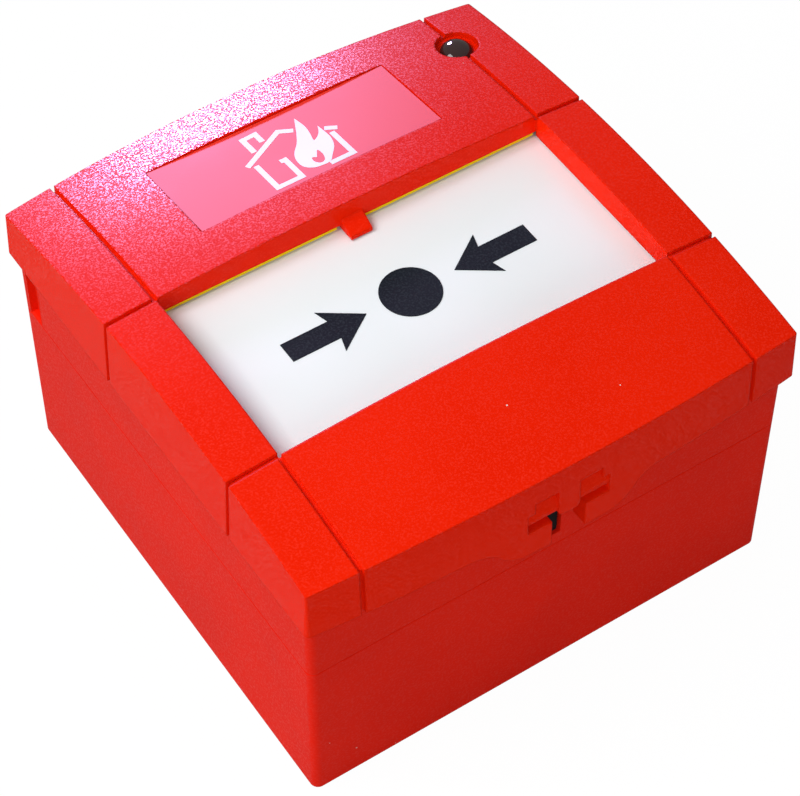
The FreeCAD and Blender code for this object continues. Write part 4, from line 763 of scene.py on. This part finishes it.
# %% The floor
FLOOR_HALF = 4.0
FLOOR_GAP = 0.2 * MM
FLOOR_TONE = (0.42, 0.42, 0.43, 1.0)
WHITE = (1.0, 1.0, 1.0, 1.0)
GLOW = 1.05
GLOW_SEEN = 0.93
GLOW_REFLECTED = 0.12


def floor_material():
    """White floor: the camera sees mostly an even glow, and the rest takes light and shadow."""
    material = bpy.data.materials.new("white_floor")
    material.use_nodes = True
    tree = material.node_tree
    tree.nodes.remove(tree.nodes["Principled BSDF"])
    matte = tree.nodes.new("ShaderNodeBsdfDiffuse")
    matte.inputs["Color"].default_value = FLOOR_TONE
    glow = tree.nodes.new("ShaderNodeEmission")
    glow.inputs["Color"].default_value = WHITE
    glow.inputs["Strength"].default_value = GLOW
    path = tree.nodes.new("ShaderNodeLightPath")
    seen = calc(tree, "MAXIMUM", path.outputs["Is Camera Ray"], path.outputs["Is Transmission Ray"])
    share = calc(tree, "MAXIMUM", calc(tree, "MULTIPLY", seen, GLOW_SEEN),
                 calc(tree, "MULTIPLY", path.outputs["Is Glossy Ray"], GLOW_REFLECTED))
    mix = tree.nodes.new("ShaderNodeMixShader")
    feed(tree, share, mix.inputs["Fac"])
    feed(tree, matte.outputs["BSDF"], mix.inputs[1])
    feed(tree, glow.outputs["Emission"], mix.inputs[2])
    feed(tree, mix.outputs["Shader"], tree.nodes["Material Output"].inputs["Surface"])
    return material


def make_floor():
    """A wide flat floor just under the rear face of the box."""
    half = FLOOR_HALF
    level = CAD_BOX[0][2] - FLOOR_GAP
    corners = [(-half, -half, level), (half, -half, level), (half, half, level), (-half, half, level)]
    mesh = bpy.data.meshes.new("floor")
    mesh.from_pydata(corners, [], [(0, 1, 2, 3)])
    floor = bpy.data.objects.new("floor", mesh)
    bpy.context.scene.collection.objects.link(floor)
    mesh.materials.append(floor_material())


make_floor()
print("floor %.2f mm below the box, %.0f m wide" % (FLOOR_GAP / MM, 2 * FLOOR_HALF))


# %% [markdown]
# ## The sky
#
# A white sky fills the shadows from all sides. At full strength it would flatten the shapes, so
# it lights at less than half of that, and only the camera sees it as pure white.

# %% The sky
SKY_STRENGTH = 0.40


def white_world(strength):
    """A plain white sky: it lights with this strength, and the camera sees it as pure white."""
    world = bpy.data.worlds.new("sky")
    world.use_nodes = True
    bpy.context.scene.world = world
    tree = world.node_tree
    ground = tree.nodes["Background"]
    ground.inputs["Color"].default_value = WHITE
    path = tree.nodes.new("ShaderNodeLightPath")
    shine = spread(tree, path.outputs["Is Camera Ray"], 0.0, 1.0, to_low=strength, to_high=1.0)
    feed(tree, shine, ground.inputs["Strength"])


white_world(SKY_STRENGTH)
print("sky strength %.2f" % SKY_STRENGTH)


# %% [markdown]
# ## The lamps
#
# A sun would give hard shadows, so square panels light the object softly. The key panel lights
# the face from the left, and two larger, weaker ones fill the sides. A small violet lamp beyond
# the top edge gives the sparkling glare on the part of the face that slopes away. It is left
# out of diffuse light, so that it adds gloss alone.

# %% The lamps
AIM = (0.0, 0.0, 0.05)


def panel(name, place, size, radiance, colour=(1.0, 1.0, 1.0)):
    """A square lamp at a place, turned to the object; its power gives the stated radiance."""
    light = bpy.data.lights.new(name, "AREA")
    light.shape = "SQUARE"
    light.size = size
    light.energy = radiance * math.pi * size ** 2
    light.color = colour
    lamp = bpy.data.objects.new(name, light)
    bpy.context.scene.collection.objects.link(lamp)
    lamp.location = place
    lamp.rotation_euler = (Vector(AIM) - Vector(place)).to_track_quat("-Z", "Y").to_euler()
    print("lamp %-12s %7.3f W" % (name, light.energy))
    return lamp


panel("key_panel", place=(-0.29, 0.05, 0.43), size=0.22, radiance=9.6)
panel("left_fill", place=(-0.75, -0.10, 0.22), size=0.40, radiance=0.7)
panel("front_fill", place=(-0.40, -0.58, 0.28), size=0.36, radiance=3.2)
glare = panel("glare_lamp", place=(0.19, 0.60, 0.31), size=0.12, radiance=420.0, colour=(0.72, 0.50, 1.0))
glare.visible_diffuse = False


# %% [markdown]
# ## The camera
#
# The photograph looks down on the lower left corner. A camera can be placed by eye, but then
# the edges miss those in the photograph. This one was solved from it, with the width of the
# cover as its only length, so its numbers aren't round. Right, up and back are the directions
# of its own axes, and the shift moves the frame without turning the camera.

# %% The camera
SENSOR_WIDTH = 36.0
FOCAL_LENGTH = 121.74
SHIFT = (-0.07225, 0.0171)
FARTHEST = 20.0
PLACE = (-0.15212, -0.23144, 0.36674)
RIGHT = (0.8268, -0.5622, 0.0173)
UP = (0.4309, 0.6529, 0.6230)
BACK = (-0.3615, -0.5076, 0.7821)

scene = bpy.context.scene
scene.view_settings.view_transform = "Standard"
camera_data = bpy.data.cameras.new("photo_camera")
camera_data.sensor_width = SENSOR_WIDTH
camera_data.lens = FOCAL_LENGTH
camera_data.shift_x, camera_data.shift_y = SHIFT
camera_data.clip_end = FARTHEST
camera = bpy.data.objects.new("photo_camera", camera_data)
scene.collection.objects.link(camera)
turned = Matrix((RIGHT, UP, BACK)).transposed().to_4x4()
camera.matrix_world = Matrix.Translation(PLACE) @ turned
scene.camera = camera
print("camera: %.1f mm lens, %.3f m from the origin" % (FOCAL_LENGTH, Vector(PLACE).length))


# %% [markdown]
# ## The sizes at the end
#
# What is added here dresses the object and must not make it larger. The frame's own box, measured
# when it was loaded, is printed here.

# %% Sizes and the end
print("CAD box   ", CAD_BOX)
